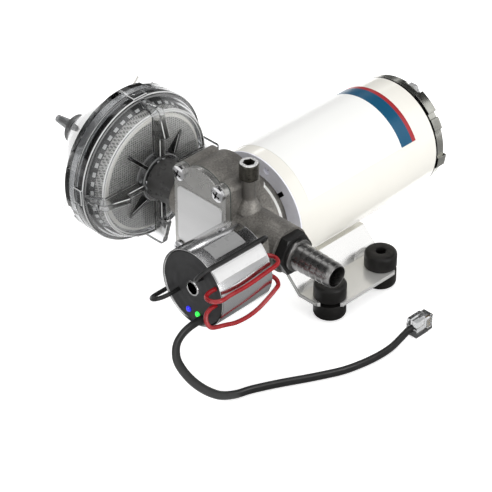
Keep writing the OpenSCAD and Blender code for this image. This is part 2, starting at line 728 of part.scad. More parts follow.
// Pump head
module head_outline() {
    for (z = [motor_z, driven_z]) translate([0, z]) circle(body_r);
    translate([-body_half_w, head_z - lug_dz]) square([2 * body_half_w, 2 * lug_dz]);
    for (sx = [-1, 1], sz = [-1, 1]) translate([sx * lug_x, head_z + sz * lug_dz]) circle(lug_r);
}
module gear_chamber_outline() { for (z = [motor_z, driven_z]) translate([0, z]) circle(chamber_r); }
module cover_space() {
    half_w = body_half_w + free_gap;
    translate([-half_w, motor_z - body_r - 1]) square([2 * half_w, gear_spacing + 2 * body_r + 2]);
}
module screw_outline(r) {
    for (sx = [-1, 1], sz = [-1, 1]) translate([sx * lug_x, head_z + sz * lug_dz]) circle(r);
}
module relief_places() { translate([relief_x, port_y, 0]) children(); }
module flange_screw_places() {
    for (a = flange_screw_angles)
        translate([flange_screw_r * cos(a), 0, motor_z + flange_screw_r * sin(a)]) children();
}
module pump_body() {
    neck_y = flange_front;
    edge = 0.8;
    flare_h = 7;
    color("#6a655e") difference() {
        union() {
            slab_y(body_front, wall_back) head_outline();
            on_motor() turn_y([[0, wall_back - 1], [body_r, wall_back - 1], [body_r, wall_back],
                [pump_flange_d / 2 - edge, neck_y], [pump_flange_d / 2, neck_y + edge],
                [pump_flange_d / 2, motor_front], [0, motor_front]]);
            on_driven() turn_y([[0, wall_back - 1], [body_r - 0.5, wall_back - 1],
                [body_r - 0.5, wall_back], [body_r - 6, wall_back + 5], [0, wall_back + 5]]);
            translate([-body_r / 2, 0, 0]) rotate([90, 0, 90]) linear_extrude(body_r)
                polygon([[wall_back - 1, driven_z + body_r - 5], [wall_back + 4, driven_z + body_r - 6],
                    [neck_y + 1, motor_z + pump_flange_d / 2 - 1], [neck_y + 1, motor_z],
                    [wall_back - 1, motor_z]]);
            on_port() bar_x(0, outlet_reach, manifold_r);
            on_port() bar_x(-inlet_boss_x, 0, inlet_boss_r);
            on_sensor() bar_y(stem_boss_y, port_y, stem_boss_r);
            relief_places() bar_z(port_z, neck_top, neck_r);
            relief_places() translate([0, 0, port_z + manifold_r - 1.5])
                cylinder(h = flare_h, r1 = neck_r + 3.5, r2 = neck_r);
        }
        slab_y(body_front - manifold_d, body_front) cover_space();
        slab_y(body_front - 1, chamber_back) gear_chamber_outline();
        slab_y(body_front - 1, body_front + screw_len - cover_t - gasket_t + 1)
            screw_outline(screw_r + seat_gap);
        on_motor() bar_y(chamber_back - 1, motor_front + 1, shaft_r + run_gap);
        on_motor() bar_y(seal_y, motor_front + 1, seal_r + seat_gap);
        on_motor() bar_y(seal_y + seal_w, motor_front + 1, coupling_r);
        on_driven() bar_y(chamber_back - 1, chamber_back + pin_depth, pin_d / 2 + seat_gap);
        on_port() bar_x(0, outlet_reach + 1, port_r);
        on_port()
            bar_x(outlet_reach - thread_len - seal_ring_d, outlet_reach + 1, outlet_thread_r + seat_gap);
        on_port() bar_x(-inlet_boss_x - 1, 0, port_r);
        on_port() bar_x(-inlet_boss_x - 1, -inlet_boss_x + thread_len + free_gap, thread_r + seat_gap);
        on_sensor() bar_y(stem_boss_y - 1, port_y, stem_bore_r);
        on_sensor() bar_y(stem_boss_y - 1, stem_boss_y + stem_seat, stem_r + seat_gap);
        relief_places() bar_z(port_z, seat_z + 1, seat_bore_r);
        relief_places() bar_z(seat_z, neck_top + 1, relief_r);
        flange_screw_places() bar_y(flange_front - 1, motor_front + 1, screw_r + run_gap);
        flange_screw_places() bar_y(flange_front - 7, flange_front, screw_head_d / 2 + free_gap);
    }
}
module pump_cover() {
    color("#8f8f8d") difference() {
        slab_y(cover_front, gasket_front) head_outline();
        slab_y(cover_front - 1, gasket_front + 1) screw_outline(screw_r + run_gap);
        on_motor() bar_y(cover_front + cover_pocket, gasket_front + 1, shaft_r + run_gap);
        on_driven() bar_y(gasket_front - cover_pocket, gasket_front + 1, pin_d / 2 + seat_gap);
    }
}
module cover_gasket() {
    color("#2f3d35") difference() {
        slab_y(gasket_front, body_front) head_outline();
        slab_y(gasket_front - 1, body_front + 1) gear_chamber_outline();
        slab_y(gasket_front - 1, body_front + 1) screw_outline(screw_r + run_gap);
    }
}
module cover_screws() {
    color("gainsboro") for (sx = [-1, 1], sz = [-1, 1])
        translate([sx * lug_x, cover_front, head_z + sz * lug_dz]) rotate([90, 20, 0])
            pan_screw(screw_d, screw_head_d, screw_head_h, screw_len);
}
module cover_badge() {
    color("silver") slab_y(cover_front - badge_t, cover_front)
        translate([0, head_z - 1.6]) difference() {
            square([badge_w, badge_h], center = true);
            for (sx = [-1, 1], sz = [-1, 1]) translate([sx * badge_w / 2, sz * badge_h / 2])
                difference() {
                    square(2 * badge_corner, center = true);
                    translate([-sx * badge_corner, -sz * badge_corner]) circle(badge_corner);
                }
        }
}
module flange_screws() {
    color("silver") flange_screw_places() translate([0, flange_front, 0]) rotate([90, 0, 0])
        pan_screw(screw_d, screw_head_d, screw_head_h, pump_flange_t + end_plate_t - 1);
}
module shaft_seal() {
    color("#222222") on_motor() ring_y(seal_y, seal_y + seal_w, seal_r, shaft_r + run_gap);
}

// Relief valve: plug, spring and poppet stand above the outlet pipe
module relief_plug() {
    r = plug_head_d / 2;
    cut = 0.8;
    color("#4a453f") relief_places() difference() {
        union() {
            translate([0, 0, neck_top]) rotate_extrude() polygon([[0, 0], [r - cut, 0], [r, cut],
                [r, plug_head_h - cut], [r - cut, plug_head_h], [0, plug_head_h]]);
            bar_z(neck_top - plug_shank, neck_top + 1, relief_r - seat_gap);
        }
        translate([0, 0, neck_top + plug_head_h - socket_depth]) hex_bar(socket_af, socket_depth + 1);
    }
}
module relief_spring() {
    z0 = seat_z + poppet_len + 2 * run_gap;
    color("silver") relief_places() translate([0, 0, z0])
        coil_spring(relief_r - spring_wire - 0.3, neck_top - plug_shank - z0, spring_wire, spring_turns);
}
module relief_poppet() {
    r = relief_r - run_gap;
    color("#d9d5c9") relief_places() translate([0, 0, seat_z + run_gap]) rotate_extrude()
        polygon([[0, -poppet_nose], [seat_bore_r - 0.6, -poppet_nose], [seat_bore_r - 0.2, 0], [r, 0],
            [r, poppet_len], [0, poppet_len]]);
}

// Outlet: nut, seal ring and hose barb
module outlet_nut() {
    cut = 0.9;
    corner = nut_af / sqrt(3);
    color("#2b2b2b") on_port() difference() {
        intersection() {
            translate([nut_x, 0, 0]) rotate([0, 90, 0]) rotate(30) hex_bar(nut_af, nut_t);
            turn_x([[0, nut_x], [corner - cut, nut_x], [corner, nut_x + cut / 2],
                [corner, collar_x - cut / 2], [corner - cut, collar_x], [0, collar_x]]);
        }
        bar_x(nut_x - 1, collar_x + 1, outlet_thread_r + seat_gap);
    }
}
module outlet_barb() {
    shank = outlet_reach - thread_len;
    tip = barb_x + barb_len;
    bore = barb_bore_d / 2;
    pitch = (barb_len - barb_lip) / barb_ridges;
    function cone_r(x) = barb_r + barb_taper * (tip - x) / barb_len;
    ridges = [for (i = [0:barb_ridges - 1]) let (x = barb_x + i * pitch)
        each [[cone_r(x) - ridge_h, x + 0.3], [cone_r(x), x + 0.9],
            [cone_r(x + pitch) - ridge_h, x + pitch]]];
    color("#4c4c4e") on_port() turn_x(concat(
        [[bore, shank], [outlet_thread_r, shank], [outlet_thread_r, collar_x], [collar_r, collar_x],
            [collar_r, barb_x]],
        ridges,
        [[barb_r - ridge_h, tip - barb_lip + 0.2], [bore + 0.5, tip], [bore, tip]]));
}
module outlet_seal() {
    color("#1d1d1d") on_port() translate([outlet_reach - thread_len - seal_ring_d / 2, 0, 0])
        rotate([0, 90, 0]) rotate_extrude()
            translate([port_r + seal_ring_d / 2 + 0.4, 0]) circle(seal_ring_d / 2 - seat_gap);
}

// Strainer on the inlet
module inlet_adaptor() {
    bore = port_r;
    tip = face_x - clear_wall + free_gap;
    color("#2c2c2c") on_port() turn_x([[bore, tip], [hub_bore_r - seat_gap, tip],
        [hub_bore_r - seat_gap, hub_x], [adaptor_r, hub_x], [adaptor_r, -inlet_boss_x],
        [thread_r, -inlet_boss_x], [thread_r, -inlet_boss_x + thread_len],
        [bore, -inlet_boss_x + thread_len]]);
}
// A flat plate through the strainer's axis, drawn in X and radius, at an angle from +Y towards +Z
module axial_plate(angle, thickness) {
    rotate([angle - 90, 0, 0]) translate([0, thickness / 2, 0]) rotate([90, 0, 0]) linear_extrude(thickness)
        children();
}
module strainer_bowl() {
    color("lightgray", 0.35) on_port() difference() {
        union() {
            turn_x([[hub_bore_r, hub_x], [hub_r, hub_x], [hub_r, face_x], [face_r, face_x],
                [shoulder_r, rim_x], [rim_r, rim_x], [rim_r, joint_x], [shoulder_r, joint_x],
                [shoulder_r, ledge_x], [seal_in_r, ledge_x], [face_r - 1, face_x - clear_wall],
                [hub_bore_r, face_x - clear_wall]]);
            for (a = [0, 90, 180, 270]) {
                axial_plate(a, rib_t) polygon([[hub_x + 0.8, hub_r - 1], [hub_x + 0.8, gusset_r - 2],
                    [fin_root_x, gusset_r - 1], [fin_root_x, gusset_r], each fin_tip, [rim_x, fin_r],
                    [rim_x, shoulder_r - 0.2], [face_x - 0.2, face_r - 0.2], [face_x - 0.2, hub_r - 1]]);
                axial_plate(a, clip_w) translate([joint_x, rim_r - 1]) square([bowl_rim_w, 1 + clip_h]);
                axial_plate(a + 45, rib_t * 0.6) polygon([[hub_x, hub_r - 1], [face_x, gusset_r],
                    [face_x - 0.2, gusset_r], [face_x - 0.2, hub_r - 1]]);
            }
        }
        bar_x(face_x - clear_wall - 1, hub_x + 6, hub_bore_r);
    }
}
module strainer_lid() {
    front = joint_x - free_gap;
    tongue = ledge_x - strainer_seal_w - free_gap;
    in_r = tongue_r - clear_wall;
    end = cone_end;
    color("lightgray", 0.35) on_port() difference() {
        union() {
            turn_x([[in_r, tongue], [tongue_r, tongue], [tongue_r, front], [rim_r, front], [rim_r, lid_back],
                [rim_r - 2, lid_back - 1.5], [collar_small_r + 4, end], [collar_small_r, end - 1],
                [collar_small_r, end - 3], [collar_groove_r, end - 3], [collar_groove_r, end - 4.5],
                [collar_small_r, end - 4.5], [collar_small_r, end - collar_w],
                [spigot_base_r, end - collar_w],
                [spigot_tip_r, end - collar_w - spigot_len], [spigot_bore_r, end - collar_w - spigot_len],
                [spigot_bore_r, end + 0.5], [collar_small_r, end + clear_wall],
                [in_r, lid_back - 1 + clear_wall]]);
            for (a = [45, 225]) axial_plate(a, wing_t)
                polygon([[lid_back + 1, wing_r - 3], [lid_back + 1, wing_r], [lid_back - wing_len, wing_r],
                    [lid_back - wing_len, wing_r - lid_cone_len * 0.58], [lid_back - 1, wing_r - 3]]);
        }
        for (i = [0:notch_count - 1]) axial_plate(22.5 + 360 * i / notch_count, notch_w)
            translate([lid_back - 2, rim_r - notch_depth]) square([4, 4]);
    }
}
module strainer_screen() {
    x0 = face_x - clear_wall - screen_gap;
    r0 = face_r - 1 - screen_gap;
    x1 = ledge_x + 0.2;
    r1 = seal_in_r - screen_gap;
    color("darkgray") on_port() turn_x([[0, x0], [r0, x0], [r1, x1], [r1 - screen_t, x1],
        [r0 - screen_t * 0.6, x0 - screen_t], [0, x0 - screen_t]]);
}
module strainer_seal() {
    color("#202020") on_port() turn_x([[seal_in_r + 0.1, ledge_x - strainer_seal_w],
        [shoulder_r - seat_gap, ledge_x - strainer_seal_w], [shoulder_r - seat_gap, ledge_x],
        [seal_in_r + 0.1, ledge_x]]);
}

// Pressure sensor on the outlet pipe
module sensor_case() {
    lip = 0.4;
    color("lightsteelblue") on_sensor() turn_y([[stem_r + seat_gap, sensor_back],
        [sensor_r - lip, sensor_back],
        [sensor_r, sensor_back - lip], [sensor_r, sensor_front + lip], [sensor_r - lip, sensor_front],
        [sensor_in_r, sensor_front], [sensor_in_r, sensor_back - sensor_back_t],
        [stem_r + seat_gap, sensor_back - sensor_back_t]]);
}
module sensor_cap() {
    color("#2a2a2b") on_sensor() difference() {
        union() {
            bar_y(cap_face, cap_face + cap_t, cap_r);
            ring_y(cap_face + cap_t - eps, cap_face + cap_t + cap_skirt, cap_r, cap_r - 2);
        }
        bar_y(cap_face - 1, cap_face + eyelet_depth, eyelet_d / 2 + seat_gap);
        for (s = [-1, 1]) translate([s * lamp_x, 0, lamp_dz])
            bar_y(cap_face - 1, cap_face + 3, lamp_d / 2 + seat_gap);
    }
}
module sensor_eyelet() {
    r = eyelet_d / 2;
    b = eyelet_bore_d / 2;
    color("silver") on_sensor() turn_y([[b + 0.2, cap_face - eyelet_h], [r - 0.2, cap_face - eyelet_h],
        [r, cap_face - eyelet_h + 0.2], [r, cap_face + eyelet_depth], [b, cap_face + eyelet_depth],
        [b, cap_face - eyelet_h + 0.2]]);
}
module sensor_stem() {
    color("silver") on_sensor() difference() {
        union() {
            bar_y(sensor_back - sensor_back_t, stem_boss_y + stem_seat, stem_r);
            translate([0, sensor_back, 0]) rotate([-90, 0, 0])
                hex_bar(stem_hex_af, stem_boss_y - sensor_back);
        }
        bar_y(sensor_back, stem_boss_y + stem_seat + 1, stem_bore_r);
    }
}
module case_patch(y0, y1, angle0, angle1) {
    rotate([-90, 0, 0]) rotate([0, 0, -angle1]) rotate_extrude(angle = angle1 - angle0)
        translate([sensor_r + seat_gap, sensor_front + y0]) square([patch_t, y1 - y0]);
}
module sensor_labels() {
    color("darkgray") on_sensor() {
        case_patch(6.5, sensor_len - 7, 63, 87);
        case_patch(1, sensor_len - 1, 34, 49);
    }
}
module control_board() {
    color("darkgreen") on_sensor()
        bar_y(cap_face + cap_t + cap_skirt, cap_face + cap_t + cap_skirt + board_t, cap_r - 0.2);
}
module lamp() {
    r = lamp_d / 2;
    on_sensor() translate([0, 0, lamp_dz]) turn_y([[0, cap_face - lamp_h - 0.4], [r * 0.6, cap_face - lamp_h],
        [r, cap_face - 0.4], [r, cap_face + 3], [0, cap_face + 3]]);
}
module lamp_blue() { color("blue") translate([-lamp_x, 0, 0]) lamp(); }
module lamp_green() { color("limegreen") translate([lamp_x, 0, 0]) lamp(); }

// Sensor wires: each leaves the cap, turns back along the case and turns into its rear face
function case_xz(p) = (sensor_r + p[1]) * [cos(p[0]), sin(p[0])];
function u_turn(a, b, y, way) =
    let (p = case_xz(a), q = case_xz(b), r = norm(q - p) / 2)
    [for (t = [0:45:180]) let (m = p + (q - p) * (1 - cos(t)) / 2) [m[0], y + way * r * sin(t), m[1]]];
function case_side(rows) =
    [for (p = rows) let (m = case_xz(p)) [m[0], sensor_front + p[2] * sensor_len, m[1]]];
function end_on(p, y) = let (m = case_xz(p)) [[m[0], y, m[1]]];
function wire_route(start, straight, bend, side, rear, end) =
    [for (p = concat(end_on(start, cap_face), u_turn(start, bend, cap_face - straight, -1), case_side(side),
        u_turn(rear, end, sensor_back + wire_tail, 1), end_on(end, sensor_back))) p + [sensor_x, 0, port_z]];
function black_route(angle, straight) = wire_route(
    [angle, black_start_off], straight, [angle, black_side_off],
    [for (p = black_side) p + [angle, 0, 0]], [angle, black_side_off], [angle, black_end_off]);
module wire(route) { route_tube(route, carried(route, [0.3, 0, 1]), round_section(wire_d, 8)); }
module red_wire_upper() {
    color("firebrick") wire(wire_route(red_upper_start, red_upper_straight, red_upper_bend, red_upper_side,
        red_upper_rear, red_upper_end));
}
module red_wire_lower() {
    color("firebrick") wire(wire_route(red_lower_start, red_lower_straight, red_lower_bend, red_lower_side,
        red_lower_rear, red_lower_end));
}
module black_wire_top() { color("#1b1b1b") wire(black_route(black_top_angle, black_top_straight)); }
module black_wire_side() { color("#1b1b1b") wire(black_route(black_side_angle, black_side_straight)); }

// Data lead and its plug
function lead_route() =
    let (land = [lead_x + lead_drop[11][0], cap_face + lead_drop[11][1]])
    concat([for (p = lead_drop)
            [lead_x + p[0], cap_face + p[1], lead_floor_z + p[2] * (lead_z - lead_floor_z)]],
        [for (p = lead_run) [land[0] + p[0] * (plug_x - land[0]), land[1] + p[1] * (plug_y - land[1]),
            lead_floor_z + p[2] * (plug_h / 2 - lead_floor_z)]]);
module data_lead() {
    color("#262626")
        route_tube(lead_route(), square_to(lead_route(), [1, 0, 0]), flat_section(lead_w, lead_t));
}
function contact_z(i) = plug_h / 2 + (i - (contact_count - 1) / 2) * contact_pitch - contact_t / 2;
module data_plug() {
    nose = 3;
    color("whitesmoke", 0.5) translate([plug_x, plug_y, 0]) {
        difference() {
            union() {
                translate([-plug_w / 2, 0, 0]) cube([plug_w, plug_len - nose, plug_h]);
                translate([-plug_w / 2 + 0.6, plug_len - nose - eps, 0.4])
                    cube([plug_w - 0.6, nose, plug_h - 0.8]);
                translate([-plug_w / 2 - latch_t, 1, plug_h / 2 - latch_w / 2])
                    cube([latch_t, plug_len - nose - 2, latch_w]);
                translate([-plug_w / 2 - latch_t, plug_len - nose - 2, plug_h / 2 - latch_w / 2])
                    cube([latch_t + 1, 1.5, latch_w]);
            }
            for (i = [0:contact_count - 1])
                translate([plug_w / 2 - 1.6, plug_len - contact_len - 1, contact_z(i) - seat_gap])
                    cube([3, contact_len + 2, contact_t + 2 * seat_gap]);
        }
    }
}
module plug_contacts() {
    color("goldenrod") for (i = [0:contact_count - 1])
        translate([plug_x + plug_w / 2 - 1.6, plug_y + plug_len - contact_len - 1, contact_z(i)])
            cube([1.2, contact_len, contact_t]);
}

base_bracket();
rubber_feet();
bracket_screws();
motor_tube();
motor_label();
front_end_cap();
rear_end_cap();
tie_bolts();
field_magnets();
front_bearing();
rear_bearing();
brush_holder();
carbon_brushes();
brush_springs();
armature_shaft();
armature_core();
armature_windings();
commutator();
pump_body();
pump_cover();
cover_gasket();
cover_screws();
cover_badge();
flange_screws();
drive_gear();
driven_gear();
gear_pin();
shaft_seal();
relief_plug();
relief_spring();
relief_poppet();
outlet_nut();
outlet_barb();
outlet_seal();
inlet_adaptor();
strainer_bowl();
strainer_lid();
strainer_screen();
strainer_seal();
sensor_case();
sensor_cap();
sensor_eyelet();
sensor_stem();
sensor_labels();
control_board();
lamp_blue();
lamp_green();
red_wire_upper();
red_wire_lower();
black_wire_top();
black_wire_side();
data_lead();
data_plug();
plug_contacts();
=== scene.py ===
"""Looks of a caravan water pump: finishes for its solids, its finer pieces, and the stage."""

import math

import bmesh
import bpy
from bpy.props import FloatProperty, FloatVectorProperty, PointerProperty
from mathutils import Matrix, Vector


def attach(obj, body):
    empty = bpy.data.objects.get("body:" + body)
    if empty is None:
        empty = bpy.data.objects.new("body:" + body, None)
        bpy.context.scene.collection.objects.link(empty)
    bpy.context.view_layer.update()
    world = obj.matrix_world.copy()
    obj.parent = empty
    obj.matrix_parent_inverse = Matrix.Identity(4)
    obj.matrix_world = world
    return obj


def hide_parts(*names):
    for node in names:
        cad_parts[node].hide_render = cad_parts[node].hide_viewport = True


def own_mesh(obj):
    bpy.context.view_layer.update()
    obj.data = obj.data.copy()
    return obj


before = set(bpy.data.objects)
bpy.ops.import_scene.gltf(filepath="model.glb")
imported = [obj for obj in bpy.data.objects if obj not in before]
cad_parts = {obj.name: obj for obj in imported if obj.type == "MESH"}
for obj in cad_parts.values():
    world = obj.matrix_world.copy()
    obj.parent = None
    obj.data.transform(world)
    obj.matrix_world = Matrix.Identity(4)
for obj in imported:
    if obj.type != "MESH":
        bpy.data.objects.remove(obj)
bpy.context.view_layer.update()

bl_info = {
    "name": "Caravan Water Pump",
    "version": (1, 0, 0),
    "blender": (4, 5, 0),
    "location": "3D View > Sidebar > Pump",
    "description": "Dresses the pump's solids and adds its wires, feet and stage",
    "category": "Object",
}

MM = 0.001
# Points on the axes of the ports, the motor, the sensor and the relief valve
PORT = (0.0, -59.0 * MM, 63.7 * MM)
MOTOR = (0.0, 0.0, 52.5 * MM)
SENSOR = (36.7 * MM, 0.0, 63.7 * MM)
RELIEF = (19.7 * MM, -59.0 * MM, 0.0)
# Edges below the first angle look smooth, and edges above the second one can be rounded
CREASE = math.radians(40.0)
SHARP = math.radians(25.0)

# Routes of the cords in millimetres, the same points as in the part's source
LEAD_ROUTE = [
    (42.7, -113.3, 48.7), (42.7, -117.3, 48.7), (42.7, -121.8, 48.24), (42.7, -126.3, 46.62),
    (42.9, -130, 43.38), (43.3, -131.3, 38.51), (44.1, -130.8, 32.96), (45.7, -127.8, 25.55),
    (47.7, -123.3, 18.14), (49.7, -117.3, 11.2), (51.7, -110.3, 5.64), (53.7, -102.3, 2.86),
    (55.87, -94.46, 2.4), (59.93, -85.64, 2.4), (64, -77.8, 2.4), (68.88, -68.98, 2.4),
    (73.48, -60.16, 2.4), (77.55, -51.34, 2.4), (80.26, -41.54, 2.4), (81.88, -30.76, 2.4),
    (82.16, -20.96, 2.76), (81.34, -12.14, 4.1), (80.8, -7.24, 4.83), (80.8, -4.3, 4.83),
]
RED_UPPER_ROUTE = [
    (51.98, -113.3, 71.15), (51.98, -117.5, 71.15), (53.31, -120.71, 71.22), (56.51, -122.04, 71.38),
    (59.72, -120.71, 71.54), (61.05, -117.5, 71.61), (59.74, -111.8, 70.44), (58.94, -107.14, 69.58),
    (58.73, -99.81, 69.19), (58.53, -92.16, 69.55), (58.45, -85.5, 70.19), (58.25, -80, 70.5),
    (56.91, -76.74, 70.59), (53.65, -75.38, 70.81), (50.39, -76.74, 71.03), (49.04, -80, 71.12),
    (49.04, -80.5, 71.12),
]
RED_LOWER_ROUTE = [
    (52.28, -113.3, 61.79), (52.28, -116.8, 61.79), (52.84, -120.21, 60.49), (54.2, -121.62, 57.36),
    (55.56, -120.21, 54.23), (56.12, -116.8, 52.94), (56.97, -111.8, 52), (57.73, -105.81, 50.56),
    (58.16, -98.48, 50.29), (58.37, -91.82, 51.44), (58.53, -85.83, 53.98), (58.5, -80, 57.03),
    (57.27, -76.8, 57.52), (54.3, -75.48, 58.7), (51.32, -76.8, 59.87), (50.09, -80, 60.36),
    (50.09, -80.5, 60.36),
]
BLACK_TOP_ROUTE = [
    (43.12, -113.3, 72.87), (43.12, -114.3, 72.87), (44.03, -118.12, 74.17), (46.22, -119.7, 77.3),
    (48.41, -118.12, 80.43), (49.32, -114.3, 81.72), (49.32, -110.47, 81.72), (49.32, -100.48, 81.72),
    (49.32, -90.49, 81.72), (49.32, -80, 81.72), (48.55, -76.75, 80.62), (46.68, -75.4, 77.95),
    (44.81, -76.75, 75.29), (44.04, -80, 74.19), (44.04, -80.5, 74.19),
]
BLACK_SIDE_ROUTE = [
    (26.9, -113.3, 58.27), (26.9, -119.7, 58.27), (25.52, -123.52, 57.5), (22.18, -125.1, 55.65),
    (18.84, -123.52, 53.8), (17.46, -119.7, 53.03), (17.46, -110.47, 53.03), (17.46, -100.48, 53.03),
    (17.46, -90.49, 53.03), (17.46, -80, 53.03), (18.64, -76.75, 53.69), (21.48, -75.4, 55.26),
    (24.33, -76.75, 56.84), (25.5, -80, 57.49), (25.5, -80.5, 57.49),
]


# Sizes and colours that a user would change


def colour(name, description, default):
    """A colour property."""
    return FloatVectorProperty(
        name=name, description=description, default=default, subtype="COLOR", size=3, min=0.0, max=1.0
    )


def length(name, description, default):
    """A length property in metres."""
    return FloatProperty(
        name=name, description=description, default=default, unit="LENGTH", subtype="DISTANCE"
    )


def grey(level):
    """An even grey."""
    return (level, level, level)


class PumpColours(bpy.types.PropertyGroup):
    """Colours of the finishes."""

    motor_paint: colour("Motor paint", "Gloss paint of the motor tube", (0.865, 0.845, 0.78))
    label_film: colour("Label film", "Bare film of the motor's label", (0.9, 0.9, 0.88))
    label_band: colour("Label band", "Broad band of the label", (0.0025, 0.078, 0.16))
    label_stripe: colour("Label stripe", "Narrow stripe behind the band", (0.36, 0.022, 0.028))
    cap_grey: colour("Front cap", "Cast front end cap of the motor", (0.93, 0.93, 1.0))
    cast_metal: colour("Pump casting", "Plated casting of the pump head", (0.178, 0.169, 0.155))
    cover_metal: colour("Pump cover", "Front plate of the pump head", (0.48, 0.475, 0.46))
    badge_metal: colour("Badge", "Bare plate on the pump cover", grey(0.72))
    sheet_metal: colour("Bracket sheet", "Folded sheet of the saddle bracket", (0.98, 0.975, 0.96))
    rubber: colour("Rubber", "Feet and seals", (0.008, 0.0075, 0.007))
    clear_plastic: colour("Clear plastic", "Strainer and data plug", (0.8, 0.81, 0.82))
    black_plastic: colour("Black plastic", "Nut of the outlet", (0.011, 0.0107, 0.0104))
    wire_red: colour("Red wires", "Insulation of the two red wires", (0.3, 0.008, 0.012))
    lamp_blue: colour("Blue lamp", "Light of the blue lamp", (0.02, 0.02, 0.6))
    lamp_green: colour("Green lamp", "Light of the green lamp", (0.03, 0.8, 0.08))


class PumpSizes(bpy.types.PropertyGroup):
    """Sizes of the pieces that are modelled here."""

    wire_width: length("Wire width", "Diameter of the sensor's wires", 2.2 * MM)
    lead_width: length("Lead width", "Width of the flat data lead", 4.6 * MM)
    lead_thickness: length("Lead thickness", "Thickness of the flat data lead", 2.4 * MM)
    band_start: length("Band start", "Place of the label's band along the motor", 43.3 * MM)
    stripe_start: length("Stripe start", "Place of the label's stripe along the motor", 51.4 * MM)
    edge_round: length("Edge rounding", "Rounding of the pump cover's edges", 0.5 * MM)


# Finishes


def toned(tint, share):
    """A darker or lighter shade of a colour."""
    return tuple(share * c for c in tint)


def math_node(tree, operation, a, b):
    """Output of a Math node on two sockets or numbers."""
    made = tree.nodes.new("ShaderNodeMath")
    made.operation = operation
    for entry, value in zip(made.inputs, (a, b)):
        if isinstance(value, (int, float)):
            entry.default_value = value
        else:
            tree.links.new(value, entry)
    return made.outputs[0]


